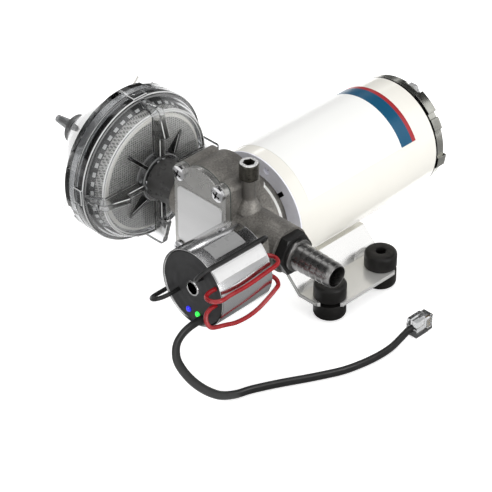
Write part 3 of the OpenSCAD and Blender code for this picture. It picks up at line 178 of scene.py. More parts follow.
class Finish:
    """One finish: a Principled shader and the patterns that feed it, read on Object coordinates."""

    def __init__(self, name, base, roughness, metallic=0.0, **sockets):
        self.material = bpy.data.materials.new(name)
        self.material.use_nodes = True
        self.tree = self.material.node_tree
        self.shader = self.tree.nodes["Principled BSDF"]
        self.base = tuple(base)
        # Values that are the same all over go on the shader's own sockets
        values = {"Base Color": (*base, 1.0), "Roughness": roughness, "Metallic": metallic, **sockets}
        for socket, value in values.items():
            self.shader.inputs[socket.replace("_", " ")].default_value = value
        self.place = self.node("ShaderNodeTexCoord").outputs["Object"]
        self.normal = None

    def node(self, kind, **settings):
        """A node of a kind with its settings."""
        made = self.tree.nodes.new(kind)
        for key, value in settings.items():
            setattr(made, key, value)
        return made

    def join(self, output, entry):
        """Links an output to an input."""
        self.tree.links.new(output, entry)

    def feed(self, socket, pattern):
        """Links a pattern to one of the shader's sockets."""
        self.join(pattern, self.shader.inputs[socket])

    def paint(self, pattern):
        """Links a pattern to the base colour."""
        self.feed("Base Color", pattern)

    def mapped(self, stretch=(1, 1, 1), centre=(0, 0, 0)):
        """Object coordinates, moved to a centre and stretched."""
        place = self.node("ShaderNodeMapping")
        place.inputs["Location"].default_value = centre
        place.inputs["Scale"].default_value = stretch
        self.join(self.place, place.inputs["Vector"])
        return place.outputs["Vector"]

    def noise(self, size, detail=3.0, stretch=(1, 1, 1)):
        """Cloudy pattern whose grains are about size millimetres across."""
        made = self.node("ShaderNodeTexNoise")
        made.inputs["Scale"].default_value = 1.0 / (size * MM)
        made.inputs["Detail"].default_value = detail
        self.join(self.mapped(stretch), made.inputs["Vector"])
        return made.outputs["Fac"]

    def waves(self, scale, place=None, **settings):
        """Wave pattern, on the Object coordinates unless another place is given."""
        made = self.node("ShaderNodeTexWave", **settings)
        made.inputs["Scale"].default_value = scale
        self.join(place or self.place, made.inputs["Vector"])
        return made.outputs["Fac"]

    def ramp(self, value, stops):
        """Colour ramp through (place, colour) stops."""
        made = self.node("ShaderNodeValToRGB")
        points = made.color_ramp.elements
        while len(points) < len(stops):
            points.new(1.0)
        for point, (place, tint) in zip(points, stops):
            point.position = place
            point.color = (*tint, 1.0)
        self.join(value, made.inputs["Fac"])
        return made.outputs["Color"]

    def spread(self, value, low, high, start=0.3, end=0.7):
        """A pattern mapped to the range from low to high."""
        made = self.node("ShaderNodeMapRange")
        for socket, number in zip(("From Min", "From Max", "To Min", "To Max"), (start, end, low, high)):
            made.inputs[socket].default_value = number
        self.join(value, made.inputs["Value"])
        return made.outputs["Result"]

    def calc(self, operation, a, b):
        """Result of a Math node on two patterns or numbers."""
        return math_node(self.tree, operation, a, b)

    def above(self, value, limit):
        """1 where a value is above a limit."""
        return self.calc("GREATER_THAN", value, limit)

    def below(self, value, limit):
        """1 where a value is below a limit."""
        return self.calc("LESS_THAN", value, limit)

    def both(self, first, second):
        """Where two masks overlap."""
        return self.calc("MULTIPLY", first, second)

    def between(self, value, low, high):
        """1 where a value is between two limits."""
        return self.both(self.above(value, low), self.below(value, high))

    def patch(self, mask, below, above):
        """Paints one colour where a mask is 0 and another where it is 1."""
        self.paint(self.blended(mask, below, above))
        return self

    def blended(self, share, below, above):
        """One colour where share is 0 and another where it is 1, as colours or sockets."""
        made = self.node("ShaderNodeMix", data_type="RGBA")
        self.join(share, made.inputs["Factor"])
        for entry, tint in ((made.inputs[6], below), (made.inputs[7], above)):
            if isinstance(tint, bpy.types.NodeSocket):
                self.join(tint, entry)
            else:
                entry.default_value = (*tint, 1.0)
        return made.outputs[2]

    def axis(self, letter, place=None):
        """One coordinate in metres, in the Object coordinates unless another place is given."""
        split = self.node("ShaderNodeSeparateXYZ")
        self.join(place or self.place, split.inputs[0])
        return split.outputs[letter]

    def radius(self, centre=PORT, across=(0, 1, 1)):
        """Distance in metres from an axis, by default the ports' common axis."""
        made = self.node("ShaderNodeVectorMath", operation="LENGTH")
        self.join(self.mapped(across, [-c * share for c, share in zip(centre, across)]), made.inputs[0])
        return made.outputs["Value"]

    def turn(self):
        """Angle about the ports' common axis in turns, from -0.5 to 0.5."""
        about = self.mapped(centre=(0, -PORT[1], -PORT[2]))
        angle = self.calc("ARCTAN2", self.axis("Z", about), self.axis("Y", about))
        return self.calc("DIVIDE", angle, math.tau)

    def cloud(self, size, dark, pale, detail=3.0, stretch=(1, 1, 1)):
        """Cloudy pattern of two colours."""
        return self.ramp(self.noise(size, detail, stretch), [(0.3, dark), (0.7, pale)])

    def mottle(self, size, darker, lighter, stretch=(1, 1, 1)):
        """Base colour that drifts between a darker and a lighter shade of itself."""
        tints = [tuple(min(1.0, c * k) for c in self.base) for k in (darker, lighter)]
        self.paint(self.cloud(size, *tints, 4.0, stretch))
        return self

    def gloss(self, size, low, high, stretch=(1, 1, 1)):
        """Roughness that drifts from low to high."""
        self.feed("Roughness", self.spread(self.noise(size, 3.0, stretch), low, high))
        return self

    def relief(self, height, depth):
        """Relief of a pattern, depth millimetres from its lowest to its highest point."""
        made = self.node("ShaderNodeBump")
        made.inputs["Distance"].default_value = depth * MM
        self.join(height, made.inputs["Height"])
        if self.normal is not None:
            self.join(self.normal, made.inputs["Normal"])
        return self.face(made.outputs["Normal"])

    def face(self, normal):
        """Links a normal to the shader, and keeps it for the reliefs that follow."""
        self.normal = normal
        self.feed("Normal", normal)
        return self

    def shaded_recess(self, reach, low, high):
        """1 on open faces and 0 down in recesses about reach millimetres wide."""
        made = self.node("ShaderNodeAmbientOcclusion", samples=8)
        made.inputs["Distance"].default_value = reach * MM
        return self.spread(made.outputs["AO"], 0.0, 1.0, low, high)

    def rounded(self, radius):
        """Edges that catch the light as if they were rounded by a radius in millimetres."""
        made = self.node("ShaderNodeBevel", samples=4)
        made.inputs["Radius"].default_value = radius * MM
        return self.face(made.outputs["Normal"])


def dress(finish, *nodes):
    """Gives CAD nodes one finish."""
    for node in nodes:
        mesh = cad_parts[node].data
        mesh.materials.clear()
        mesh.materials.append(finish.material)


# Modelling helpers


def linked(name, data):
    """A new object of the scene for its data."""
    made = bpy.data.objects.new(name, data)
    bpy.context.scene.collection.objects.link(made)
    return made


def placed(name, bm, *finishes):
    """A new object of the scene from a bmesh and its finishes."""
    mesh = bpy.data.meshes.new(name)
    bm.to_mesh(mesh)
    bm.free()
    for finish in finishes:
        mesh.materials.append(finish.material)
    return linked(name, mesh)


def piece(name, bm, finish, node, others=()):
    """A finished object of the base in the place of a CAD node. Others are its further finishes."""
    bmesh.ops.recalc_face_normals(bm, faces=bm.faces)
    for face in bm.faces:
        face.smooth = True
    for edge in bm.edges:
        edge.smooth = len(edge.link_faces) != 2 or edge.calc_face_angle(0.0) < CREASE
    made = placed(name, bm, finish, *others)
    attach(made, "base")
    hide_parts(node)
    return made


def turned(bm, profile, axis, centre, steps, sweep=360.0, start=None):
    """Spins a closed outline of (radius, place) in millimetres round an axis, into a bmesh."""
    along = Vector(axis)
    out = Vector(start or along.orthogonal()).normalized()
    centre = Vector(centre)
    points = [bm.verts.new(centre + (out * r + along * h) * MM) for r, h in profile]
    edges = [bm.edges.new((a, b)) for a, b in zip(points, points[1:] + points[:1])]
    full = sweep >= 360.0
    bmesh.ops.spin(
        bm, geom=points + edges, cent=centre, axis=along, angle=math.radians(sweep), steps=steps,
        use_merge=full,
    )
    bmesh.ops.remove_doubles(bm, verts=bm.verts, dist=1e-7)
    if not full:
        bmesh.ops.holes_fill(bm, edges=[e for e in bm.edges if e.is_boundary])
    return bm


def round_edges(bm, size, segments=3):
    """Rounds the sharp edges of a bmesh and returns the new faces."""
    bmesh.ops.recalc_face_normals(bm, faces=bm.faces)
    sharp = [e for e in bm.edges if len(e.link_faces) == 2 and e.calc_face_angle(0.0) > SHARP]
    return bmesh.ops.bevel(
        bm, geom=sharp, offset=size, offset_type="OFFSET", affect="EDGES", segments=segments, profile=0.5,
        material=-1, clamp_overlap=True,
    )["faces"]


def smooth_route(route, parts):
    """A smooth line in metres through the points of a route in millimetres."""
    points = [Vector(p) * MM for p in route]
    line = []
    for i in range(len(points) - 1):
        before = points[max(i - 1, 0)]
        a, b = points[i], points[i + 1]
        after = points[min(i + 2, len(points) - 1)]
        for step in range(parts):
            t = step / parts
            bend = (2 * before - 5 * a + 4 * b - after) * t * t
            twist = (3 * a - before - 3 * b + after) * t**3
            line.append(0.5 * (2 * a + (b - before) * t + bend + twist))
    return line + [points[-1]]


def drawn_tube(line, section, side_of):
    """A bmesh of a closed section along a line. side_of gives its first direction from a heading."""
    bm = bmesh.new()
    places = []
    last = len(line) - 1
    for i, point in enumerate(line):
        heading = (line[min(i + 1, last)] - line[max(i - 1, 0)]).normalized()
        side = side_of(heading)
        up = heading.cross(side)
        places.append(Matrix((side, up, heading)).transposed().to_4x4())
        places[-1].translation = point
    ring = [bm.verts.new((x, y, 0.0)) for x, y in section]
    edges = [bm.edges.new((a, b)) for a, b in zip(ring, ring[1:] + ring[:1])]
    start = edges
    bmesh.ops.transform(bm, matrix=places[0], verts=ring)
    for before, after in zip(places, places[1:]):
        grown = bmesh.ops.extrude_edge_only(bm, edges=edges)["geom"]
        edges = [g for g in grown if isinstance(g, bmesh.types.BMEdge) and len(g.link_faces) == 1]
        verts = [g for g in grown if isinstance(g, bmesh.types.BMVert)]
        bmesh.ops.transform(bm, matrix=after @ before.inverted(), verts=verts)
    bmesh.ops.edgeloop_fill(bm, edges=start)
    bmesh.ops.edgeloop_fill(bm, edges=edges)
    return bm


def round_section(width, sides):
    """Closed round section of a wire."""
    angles = [math.tau * i / sides for i in range(sides)]
    return [(width / 2 * math.cos(a), width / 2 * math.sin(a)) for a in angles]


class PumpOperator:
    """What the pump's operators share."""

    bl_options = {"REGISTER", "UNDO"}

    def colours(self):
        """Colours that the user can change."""
        return bpy.context.scene.pump_colours

    def sizes(self):
        """Sizes that the user can change."""
        return bpy.context.scene.pump_sizes


# Stage

# Right and back directions, place and lens of the photograph's camera
CAMERA_RIGHT, CAMERA_BACK = (1, 1, 0), (1, -1, 1)
CAMERA_PLACE, CAMERA_LENS = (0.6666, -0.7079, 0.7002), 166.9

# Lamps: name, place, target, size, watts, and whether polished surfaces mirror it
LAMPS = (
    ("lamp_top", (0.1, 0.1, 1.7), (0, -0.01, 0.05), (1.8, 1.8), 9.0, True),
    ("lamp_side", (1.7, 0.1, 0.25), (0, 0, 0.05), (1.0, 1.0), 18.0, True),
    ("lamp_front", (0.1, -1.8, 0.8), (0, 0, 0.05), (1.0, 1.0), 5.0, True),
    ("lamp_strip", (-0.82, 0.5, 1.15), (0.03, -0.05, 0.06), (0.12, 0.9), 1.2, True),
    ("lamp_fill", (-0.82, 0.5, 1.15), (0.03, 0.0, 0.06), (0.9, 0.9), 3.0, False),
)

# Standing cards: name, axis they stand round, first and last angle in degrees, and grey
STANDING_CARDS = (
    ("flag_left", "Y", -115.0, -56.0, 0.1),
    ("flag_high", "Y", -48.0, 26.0, 0.01),
    ("flag_right", "Y", 64.0, 90.0, 0.6),
    ("flag_low", "Y", 90.0, 135.0, 0.2),
    ("flag_front", "X", 5.0, 75.0, 0.01),
)

# Cards on the floor: name, two opposite corners, and grey
FLOOR_CARDS = (
    ("flag_floor_right", (0.03, -0.1), (0.6, 0.5), 0.3),
    ("flag_floor_front", (-0.35, -0.5), (0.03, -0.125), 0.4),
)
CARD_LIFT = 0.4 * MM


class PUMP_OT_stage(PumpOperator, bpy.types.Operator):
    """Camera at the photograph's angle, pale floor, soft lamps and a white surround"""

    bl_idname = "pump.stage"
    bl_label = "Stage"

    def execute(self, context):
        scene = context.scene
        scene.view_settings.view_transform = "Standard"
        scene.camera = self.camera()
        self.floor()
        self.surround(scene)
        for row in LAMPS:
            self.lamp(*row)
        for name, along, first, last, tone in STANDING_CARDS:
            self.flag(name, self.standing(along, first, last), tone)
        for name, (x0, y0), (x1, y1), tone in FLOOR_CARDS:
            corners = [(x, y, CARD_LIFT) for x, y in ((x0, y0), (x1, y0), (x1, y1), (x0, y1))]
            self.flag(name, corners, tone, False)
        return {"FINISHED"}

    def camera(self):
        """Long lens at the photograph's angle."""
        lens = bpy.data.cameras.new("camera")
        lens.lens = CAMERA_LENS
        lens.sensor_width = 36.0
        lens.clip_start, lens.clip_end = 0.01, 50.0
        made = linked("camera", lens)
        right, back = Vector(CAMERA_RIGHT).normalized(), Vector(CAMERA_BACK).normalized()
        made.matrix_world = Matrix((right, back.cross(right), back)).transposed().to_4x4()
        made.location = CAMERA_PLACE
        return made

    def standing(self, along, first, last):
        """Corners of a card round the sensor, between two angles about the motor's or the ports' axis."""
        middle, reach, near, far = Vector((0.03, -0.09, 0.06)), 1.4, 34.0, 76.0
        corners = []
        for turn, lean in ((first, near), (last, near), (last, far), (first, far)):
            turn, lean = math.radians(turn), math.radians(lean)
            out = math.sin(lean)
            way = Vector((math.sin(turn) * out, math.cos(lean), math.cos(turn) * out))
            if along == "X":
                way = Vector((-way.y, -way.x, way.z))
            corners.append(middle + reach * way)
        return corners

    def flag(self, name, corners, tone, through=True):
        """A dark studio card that only polished surfaces and, if through, clear ones show."""
        bm = bmesh.new()
        bm.faces.new([bm.verts.new(corner) for corner in corners])
        made = placed(name, bm, Finish(name + "_card", grey(tone), 0.9))
        made.visible_transmission = through
        for ray in ("camera", "diffuse", "volume_scatter", "shadow"):
            setattr(made, "visible_" + ray, False)

    def floor(self):
        """Pale floor that looks white and keeps the pump's shadow."""
        drop, glow = 0.2 * MM, 0.55
        bm = bmesh.new()
        bmesh.ops.create_grid(bm, x_segments=1, y_segments=1, size=6.0)
        bmesh.ops.translate(bm, verts=bm.verts, vec=(0, 0, -drop))
        white = Finish("floor_white", grey(0.9), 0.8, Emission_Color=(1.0, 1.0, 1.0, 1.0))
        white.feed("Emission Strength", white.calc("MULTIPLY", self.seen_rays(white.tree), glow))
        made = placed("floor", bm, white)

    def seen_rays(self, tree):
        """1 for the rays that show the background: from the camera, in metal and through glass."""
        path = tree.nodes.new("ShaderNodeLightPath")
        total = path.outputs["Is Camera Ray"]
        for kind in ("Is Glossy Ray", "Is Transmission Ray"):
            total = math_node(tree, "MAXIMUM", total, path.outputs[kind])
        return total

    def surround(self, scene):
        """White surround that lights the pump less than it shows."""
        world = bpy.data.worlds.new("surround")
        scene.world = world
        world.use_nodes = True
        tree = world.node_tree
        mix = tree.nodes.new("ShaderNodeMixShader")
        tree.links.new(self.seen_rays(tree), mix.inputs["Fac"])
        lighting, shown = tree.nodes["Background"], tree.nodes.new("ShaderNodeBackground")
        for entry, node, strength in ((1, lighting, 0.6), (2, shown, 1.0)):
            node.inputs["Color"].default_value = (1.0, 1.0, 1.0, 1.0)
            node.inputs["Strength"].default_value = strength
            tree.links.new(node.outputs[0], mix.inputs[entry])
        tree.links.new(mix.outputs[0], tree.nodes["World Output"].inputs["Surface"])

    def lamp(self, name, place, target, size, power, mirrored):
        """A soft lamp. One that isn't mirrored leaves no streak in the polished surfaces."""
        data = bpy.data.lights.new(name, "AREA")
        data.shape = "RECTANGLE"
        data.size, data.size_y = size
        data.energy = power
        made = linked(name, data)
        made.location = place
        made.visible_glossy = mirrored
        made.rotation_mode = "QUATERNION"
        made.rotation_quaternion = (Vector(target) - Vector(place)).to_track_quat("-Z", "Y")


# Cords


class PUMP_OT_data_lead(PumpOperator, bpy.types.Operator):
    """Flat data lead that drops from the sensor's cap and lies on the floor, and its clear plug"""

    bl_idname = "pump.data_lead"
    bl_label = "Data lead and plug"

    def execute(self, context):
        tints, sizes = self.colours(), self.sizes()
        dress(clear_finish("plug_clear", toned(tints.clear_plastic, 0.65)), "data_plug")
        gold = Finish("contact_gold", (0.75, 0.5, 0.16), 0.25, 1.0)
        dress(gold.mottle(2, 0.9, 1.1).gloss(1, 0.18, 0.32), "plug_contacts")
        jacket = Finish("lead_jacket", grey(0.014), 0.35, Specular_IOR_Level=0.35)
        jacket.mottle(6, 0.8, 1.25).gloss(2, 0.28, 0.42).relief(jacket.noise(0.5), 0.02)
        line = smooth_route(LEAD_ROUTE, 6)
        half, end = (sizes.lead_width - sizes.lead_thickness) / 2, sizes.lead_thickness / 2
        section = [
            (way * (half + end * math.cos(math.radians(a))), way * end * math.sin(math.radians(a)))
            for way in (1, -1)
            for a in range(-90, 91, 30)
        ]
        across = Vector((1, 0, 0))
        bm = drawn_tube(line, section, lambda heading: heading.cross(across).normalized())
        made = piece("flat_data_lead", bm, jacket, "data_lead")
        return {"FINISHED"}


class PUMP_OT_sensor_wires(PumpOperator, bpy.types.Operator):
    """Two red and two black wires that loop from the sensor's cap to its rear"""

    bl_idname = "pump.sensor_wires"
    bl_label = "Sensor wires"

    def execute(self, context):
        width = self.sizes().wire_width
        red = Finish("wire_red", self.colours().wire_red, 0.22, Specular_IOR_Level=0.5)
        red.mottle(4, 0.85, 1.15).gloss(1.5, 0.16, 0.28)
        black = Finish("wire_black", grey(0.012), 0.35, Specular_IOR_Level=0.3)
        black.mottle(4, 0.8, 1.3).gloss(1.5, 0.28, 0.44)
        self.wire("red", "upper", RED_UPPER_ROUTE, width, red)
        self.wire("red", "lower", RED_LOWER_ROUTE, width, red)
        self.wire("black", "top", BLACK_TOP_ROUTE, width, black)
        self.wire("black", "side", BLACK_SIDE_ROUTE, width, black)
        return {"FINISHED"}

    def wire(self, hue, spot, route, width, finish):
        """One round wire along its route, with a section that turns no more than the route does."""
        line = smooth_route(route, 4)
        carried = Vector((0.3, 0, 1))

        def side(heading):
            nonlocal carried
            carried = (carried - heading * carried.dot(heading)).normalized()
            return carried

        bm = drawn_tube(line, round_section(width, 14), side)
        made = piece(f"wire_{hue}_{spot}", bm, finish, f"{hue}_wire_{spot}")


# Finishes that several groups use


def clear_finish(name, tint, smoke_and_shade=()):
    """Clear moulded plastic with a faint flow pattern. Its steps of (place along the port, share) darken it
    in bands, as smoky tint and as painted shade.
    """
    made = Finish(name, tint, 0.04, 0.0, IOR=1.45, Transmission_Weight=1.0)
    if smoke_and_shade:
        first, last = smoke_and_shade[0][0], smoke_and_shade[-1][0]
        along = made.spread(made.axis("X"), 0.0, 1.0, first * MM, last * MM)
        stops = [((x - first) / (last - first), toned(tint, share)) for x, share in smoke_and_shade]
        made.paint(made.ramp(along, stops))
    return made.gloss(12, 0.02, 0.08).relief(made.noise(9), 0.015)


SPRING_TINT = grey(0.55)


def steel_finish(name, tint, roughness):
    """Plated or ground steel."""
    made = Finish(name, tint, roughness, 1.0)
    return made.mottle(5, 0.85, 1.08).gloss(1.2, roughness * 0.7, roughness * 1.3)


def moulded_finish(name, tint, roughness, grain=0.4, shine=0.3):
    """Moulded plastic with a fine grain."""
    made = Finish(name, tint, roughness, Specular_IOR_Level=shine)
    made.mottle(7, 0.85, 1.2).gloss(3, roughness * 0.85, roughness * 1.15)
    return made.relief(made.noise(grain), 0.02)


# Groups of pieces


class PUMP_OT_feet_and_bracket(PumpOperator, bpy.types.Operator):
    """Folded saddle bracket, its screws and the four grooved rubber feet"""

    bl_idname = "pump.feet_and_bracket"
    bl_label = "Feet and bracket"

    def execute(self, context):
        tints = self.colours()
        dress(self.sheet(tints.sheet_metal), "base_bracket")
        dress(steel_finish("screw_zinc", grey(0.6), 0.3), "bracket_screws")
        rubber = Finish("foot_rubber", tints.rubber, 0.4, Specular_IOR_Level=0.2)
        rubber.mottle(5, 0.8, 1.4).gloss(2, 0.34, 0.46).relief(rubber.noise(0.35), 0.03)
        bm = bmesh.new()
        for x in (-38.0, 38.0):
            for y in (-19.0, 19.0):
                turned(bm, self.foot(), (0, 0, 1), (x * MM, y * MM, 0.0), 72)
        round_edges(bm, 0.35 * MM, 2)
        piece("grooved_feet", bm, rubber, "rubber_feet")
        return {"FINISHED"}

    def sheet(self, tint):
        """Bright folded sheet, with painted shade making the flat flanges darker and less metallic than the
        leg, and duller at its cut front edge.
        """
        sheet = Finish("bracket_sheet", tint, 0.22, 0.55, Coat_Weight=0.3).rounded(0.5)
        leg = sheet.spread(sheet.axis("Z"), 0.0, 1.0, 11.5 * MM, 14.0 * MM)
        # Painted shade: the flanges get a darker copy of the sheet's colour and less metal, so they look
        # dimmer than the leg.
        sheet.feed("Metallic", sheet.spread(leg, 0.55, 1.0, 0.0, 1.0))
        face = sheet.blended(leg, toned(tint, 0.77), tint)
        cut = sheet.below(sheet.axis("Y"), -28.8 * MM)
        return sheet.patch(cut, face, (0.3, 0.3, 0.29)).gloss(14, 0.2, 0.28, (1, 0.12, 1))

    def foot(self):
        """Outline of a foot: a rounded base, the groove for the bracket and a chamfered top."""
        return [
            (2.8, 0.0), (6.8, 0.0), (7.7, 0.25), (8.3, 0.85), (8.55, 1.7), (8.55, 9.0), (5.0, 9.0),
            (5.0, 11.0), (8.55, 11.0), (8.55, 18.0), (8.3, 18.75), (7.7, 19.35), (7.0, 19.6), (2.8, 19.6),
        ]


class PUMP_OT_motor(PumpOperator, bpy.types.Operator):
    """White motor tube with its label and end caps"""

    bl_idname = "pump.motor"
    bl_label = "Motor"

    def execute(self, context):
        tints = self.colours()
        self.tube(tints.motor_paint)
        self.label(tints, self.sizes())
        dress(self.front_cap(tints.cap_grey), "front_end_cap")
        dress(self.rear_cap(), "rear_end_cap")
        bolts = Finish("bolt_zinc", grey(0.55), 0.3, 0.6).gloss(1.2, 0.22, 0.38)
        flush = bolts.below(bolts.axis("Y"), -30.0 * MM)
        dress(bolts.patch(flush, bolts.base, tints.cap_grey), "tie_bolts")
        return {"FINISHED"}

    def tube(self, tint):
        """Painted tube with rounded ends."""
        paint = Finish("motor_paint", tint, 0.22, Coat_Weight=0.4)
        paint.mottle(30, 0.98, 1.01).gloss(25, 0.2, 0.26)
        outline = [(30.0, -33.2), (31.5, -33.2), (31.5, 67.5), (30.0, 67.5)]
        bm = turned(bmesh.new(), outline, (0, 1, 0), MOTOR, 160)
        round_edges(bm, 0.35 * MM)
        piece("painted_tube", bm, paint, "motor_tube")

    def label(self, tints, sizes):
        """Bare film round the tube, with its plain band and stripe."""
        film = Finish("label_film", tints.label_film, 0.3)
        place = film.axis("Y")
        band, stripe = (film.above(place, start) for start in (sizes.band_start, sizes.stripe_start))
        printed = film.blended(band, film.base, tints.label_band)
        film.patch(stripe, printed, tints.label_stripe)
        film.gloss(25, 0.28, 0.32)
        first, wrap = math.radians(27.0), 156.0
        outline = [(31.53, 25.5), (31.66, 25.5), (31.66, -54.0), (31.53, -54.0)]
        start = (math.cos(first), 0, math.sin(first))
        bm = turned(bmesh.new(), outline, (0, -1, 0), MOTOR, 96, wrap, start)
        piece("wrapped_label", bm, film, "motor_label")

    def front_cap(self, tint):
        """Cast end cap, with painted shade in its two slots that lie aslant."""
        front = Finish("cap_cast", tint, 0.45).rounded(0.4)
        cloud = front.cloud(6, toned(tint, 0.92), tint)
        half, first, last = 1.25 * math.sqrt(2) * MM, 20.9 * MM, 26.1 * MM
        height = front.calc("SUBTRACT", front.axis("Z"), MOTOR[2])
        beside = front.between(front.calc("SUBTRACT", front.axis("X"), height), -half, half)
        # Painted shade: the walls and floor of the two slots are painted near black.
        slots = front.both(beside, front.between(front.radius(MOTOR, (1, 0, 1)), first, last))
        front.patch(slots, cloud, grey(0.004))
        return front.gloss(2, 0.38, 0.55).relief(front.noise(0.7), 0.02)

    def rear_cap(self):
        """Satin end cap, with a dark line of painted shade in the gap to the tube."""
        rear = Finish("cap_satin", (0.42, 0.42, 0.43), 0.28, 1.0).rounded(0.6)
        # Painted shade: the strip of the cap in the gap next to the tube is painted near black.
        seam_shade = rear.below(rear.axis("Y"), 68.9 * MM)
        satin = rear.cloud(5, (0.48, 0.48, 0.44), (0.62, 0.62, 0.57))
        return rear.patch(seam_shade, satin, grey(0.01)).gloss(2, 0.16, 0.26)


class PUMP_OT_motor_works(PumpOperator, bpy.types.Operator):
    """Magnets, bearings, brushes and armature inside the motor"""

    bl_idname = "pump.motor_works"
    bl_label = "Motor works"

    def execute(self, context):
        dress(moulded_finish("ferrite", (0.012, 0.012, 0.013), 0.6, 0.8), "field_magnets")
        ground = steel_finish("ground_steel", (0.6, 0.62, 0.64), 0.2)
        dress(ground, "front_bearing", "rear_bearing", "armature_shaft", "gear_pin")
        dress(moulded_finish("phenolic", (0.16, 0.08, 0.03), 0.5), "brush_holder")
        dress(moulded_finish("carbon", (0.03, 0.03, 0.035), 0.55, 0.25), "carbon_brushes")
        dress(steel_finish("brush_spring_wire", SPRING_TINT, 0.25), "brush_springs")
        stacked = Finish("stacked_sheet", (0.32, 0.33, 0.34), 0.4, 0.9)
        layers = stacked.waves(300.0, wave_type="BANDS", bands_direction="Y")
        dress(stacked.mottle(5, 0.85, 1.1).relief(layers, 0.05), "armature_core")
        copper = Finish("copper", (0.6, 0.26, 0.1), 0.3, 1.0)
        copper.mottle(3, 0.8, 1.1).gloss(1, 0.22, 0.4)
        dress(copper, "armature_windings", "commutator")
        return {"FINISHED"}


class PUMP_OT_pump_head(PumpOperator, bpy.types.Operator):
    """Casting, cover, badge, screws and the relief valve's plug"""

    bl_idname = "pump.pump_head"
    bl_label = "Pump head"

    def execute(self, context):
        tints = self.colours()
        dress(self.casting(tints.cast_metal), "pump_body")
        plate = Finish("cover_plate", tints.cover_metal, 0.28, 0.9).rounded(self.sizes().edge_round / MM)
        dress(plate.mottle(8, 0.95, 1.05).gloss(6, 0.24, 0.32), "pump_cover")
        badge = Finish("badge_plate", tints.badge_metal, 0.35, 0.4)
        badge.mottle(10, 0.96, 1.03, (0.08, 1, 1)).gloss(1, 0.28, 0.42, (0.05, 1, 1))
        dress(badge, "cover_badge")
        screws = Finish("screw_bright", grey(0.6), 0.16, 1.0).gloss(1.2, 0.12, 0.22)
        # Painted shade: ambient occlusion paints the cross recesses, and the place where each head meets
        # the plate, near black.
        recess = screws.shaded_recess(1.5, 0.25, 0.6)
        screws.patch(recess, grey(0.003), (0.6, 0.6, 0.61))
        dress(screws, "cover_screws", "flange_screws")
        dress(moulded_finish("gasket_sheet", (0.04, 0.05, 0.045), 0.7), "cover_gasket")
        dress(self.socket_plug(), "relief_plug")
        return {"FINISHED"}

    def casting(self, tint):
        """Rough casting, with painted shade darkening the neck under the plug and a bright painted
        highlight along the edge of its flange.
        """
        cast = Finish("pump_casting", tint, 0.5, 0.65).rounded(1.2)
        dark, plain, pale = (toned(tint, share) for share in (0.7, 1.0, 1.45))
        grains = cast.calc("ADD", cast.noise(9, 4.0), cast.noise(0.8, 2.0))
        rough = cast.ramp(cast.calc("MULTIPLY", grains, 0.5), [(0.36, dark), (0.5, plain), (0.64, pale)])
        # Painted shade: the neck under the plug is painted darker.
        near = cast.spread(cast.radius(RELIEF, (1, 1, 0)), 1.0, 0.0, 6.0 * MM, 9.0 * MM)
        neck = cast.both(near, cast.spread(cast.axis("Z"), 0.0, 0.8, 79.0 * MM, 84.0 * MM))
        # Painted highlight: a thin band along the flange's front edge is painted near white.
        place = cast.axis("Y")
        front = cast.spread(place, 0.0, 1.0, -37.7 * MM, -37.5 * MM)
        edge = cast.both(front, cast.spread(place, 1.0, 0.0, -36.8 * MM, -36.6 * MM))
        cast.patch(edge, cast.blended(neck, rough, dark), (0.9, 0.9, 0.88))
        return cast.gloss(1.5, 0.42, 0.62).relief(cast.noise(1.1, 4.0), 0.2)

    def socket_plug(self):
        """Dark machined plug with a pale top face."""
        plug = Finish("plug_machined", (0.05, 0.047, 0.04), 0.32, 0.7).rounded(0.4)
        pale_top = plug.spread(plug.axis("Z"), 0.0, 1.0, 101.3 * MM, 101.5 * MM)
        worn = plug.cloud(2, (0.03, 0.028, 0.022), (0.06, 0.056, 0.046), 4.0)
        return plug.patch(pale_top, worn, (0.8, 0.8, 0.79)).gloss(1, 0.24, 0.4)


class PUMP_OT_pump_works(PumpOperator, bpy.types.Operator):
    """Gears, shaft seal, relief poppet and its spring inside the pump head"""

    bl_idname = "pump.pump_works"
    bl_label = "Pump works"

    def execute(self, context):
        brass = Finish("gear_brass", (0.62, 0.42, 0.14), 0.3, 1.0)
        dress(brass.mottle(3, 0.85, 1.1).gloss(1, 0.22, 0.38), "drive_gear")
        white = moulded_finish("gear_plastic", (0.66, 0.62, 0.54), 0.4)
        dress(white, "driven_gear", "relief_poppet")
        rubber = moulded_finish("seal_rubber", self.colours().rubber, 0.55)
        dress(rubber, "shaft_seal", "outlet_seal", "strainer_seal")
        self.relief_spring()
        return {"FINISHED"}

    def relief_spring(self):
        """Coil spring over the poppet."""
        low, high, lift = 78.3, 86.3, 3.0
        radius, wire, turns, steps = 1.4, 0.5, 4, 20
        line = []
        for i in range(turns * steps + 1):
            angle = math.tau * i / steps
            height = low + wire / 2 + (high - low - wire) * i / (turns * steps)
            coil = Vector((radius * math.cos(angle), radius * math.sin(angle), height))
            line.append(Vector(RELIEF) + coil * MM)
        up = Vector((0, 0, 1))
        bm = drawn_tube(line, round_section(wire * MM, 10), lambda way: way.cross(up).normalized())
        drawn = steel_finish("spring_wire", SPRING_TINT, 0.25)
        made = piece("coiled_relief_spring", bm, drawn, "relief_spring")
        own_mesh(made)


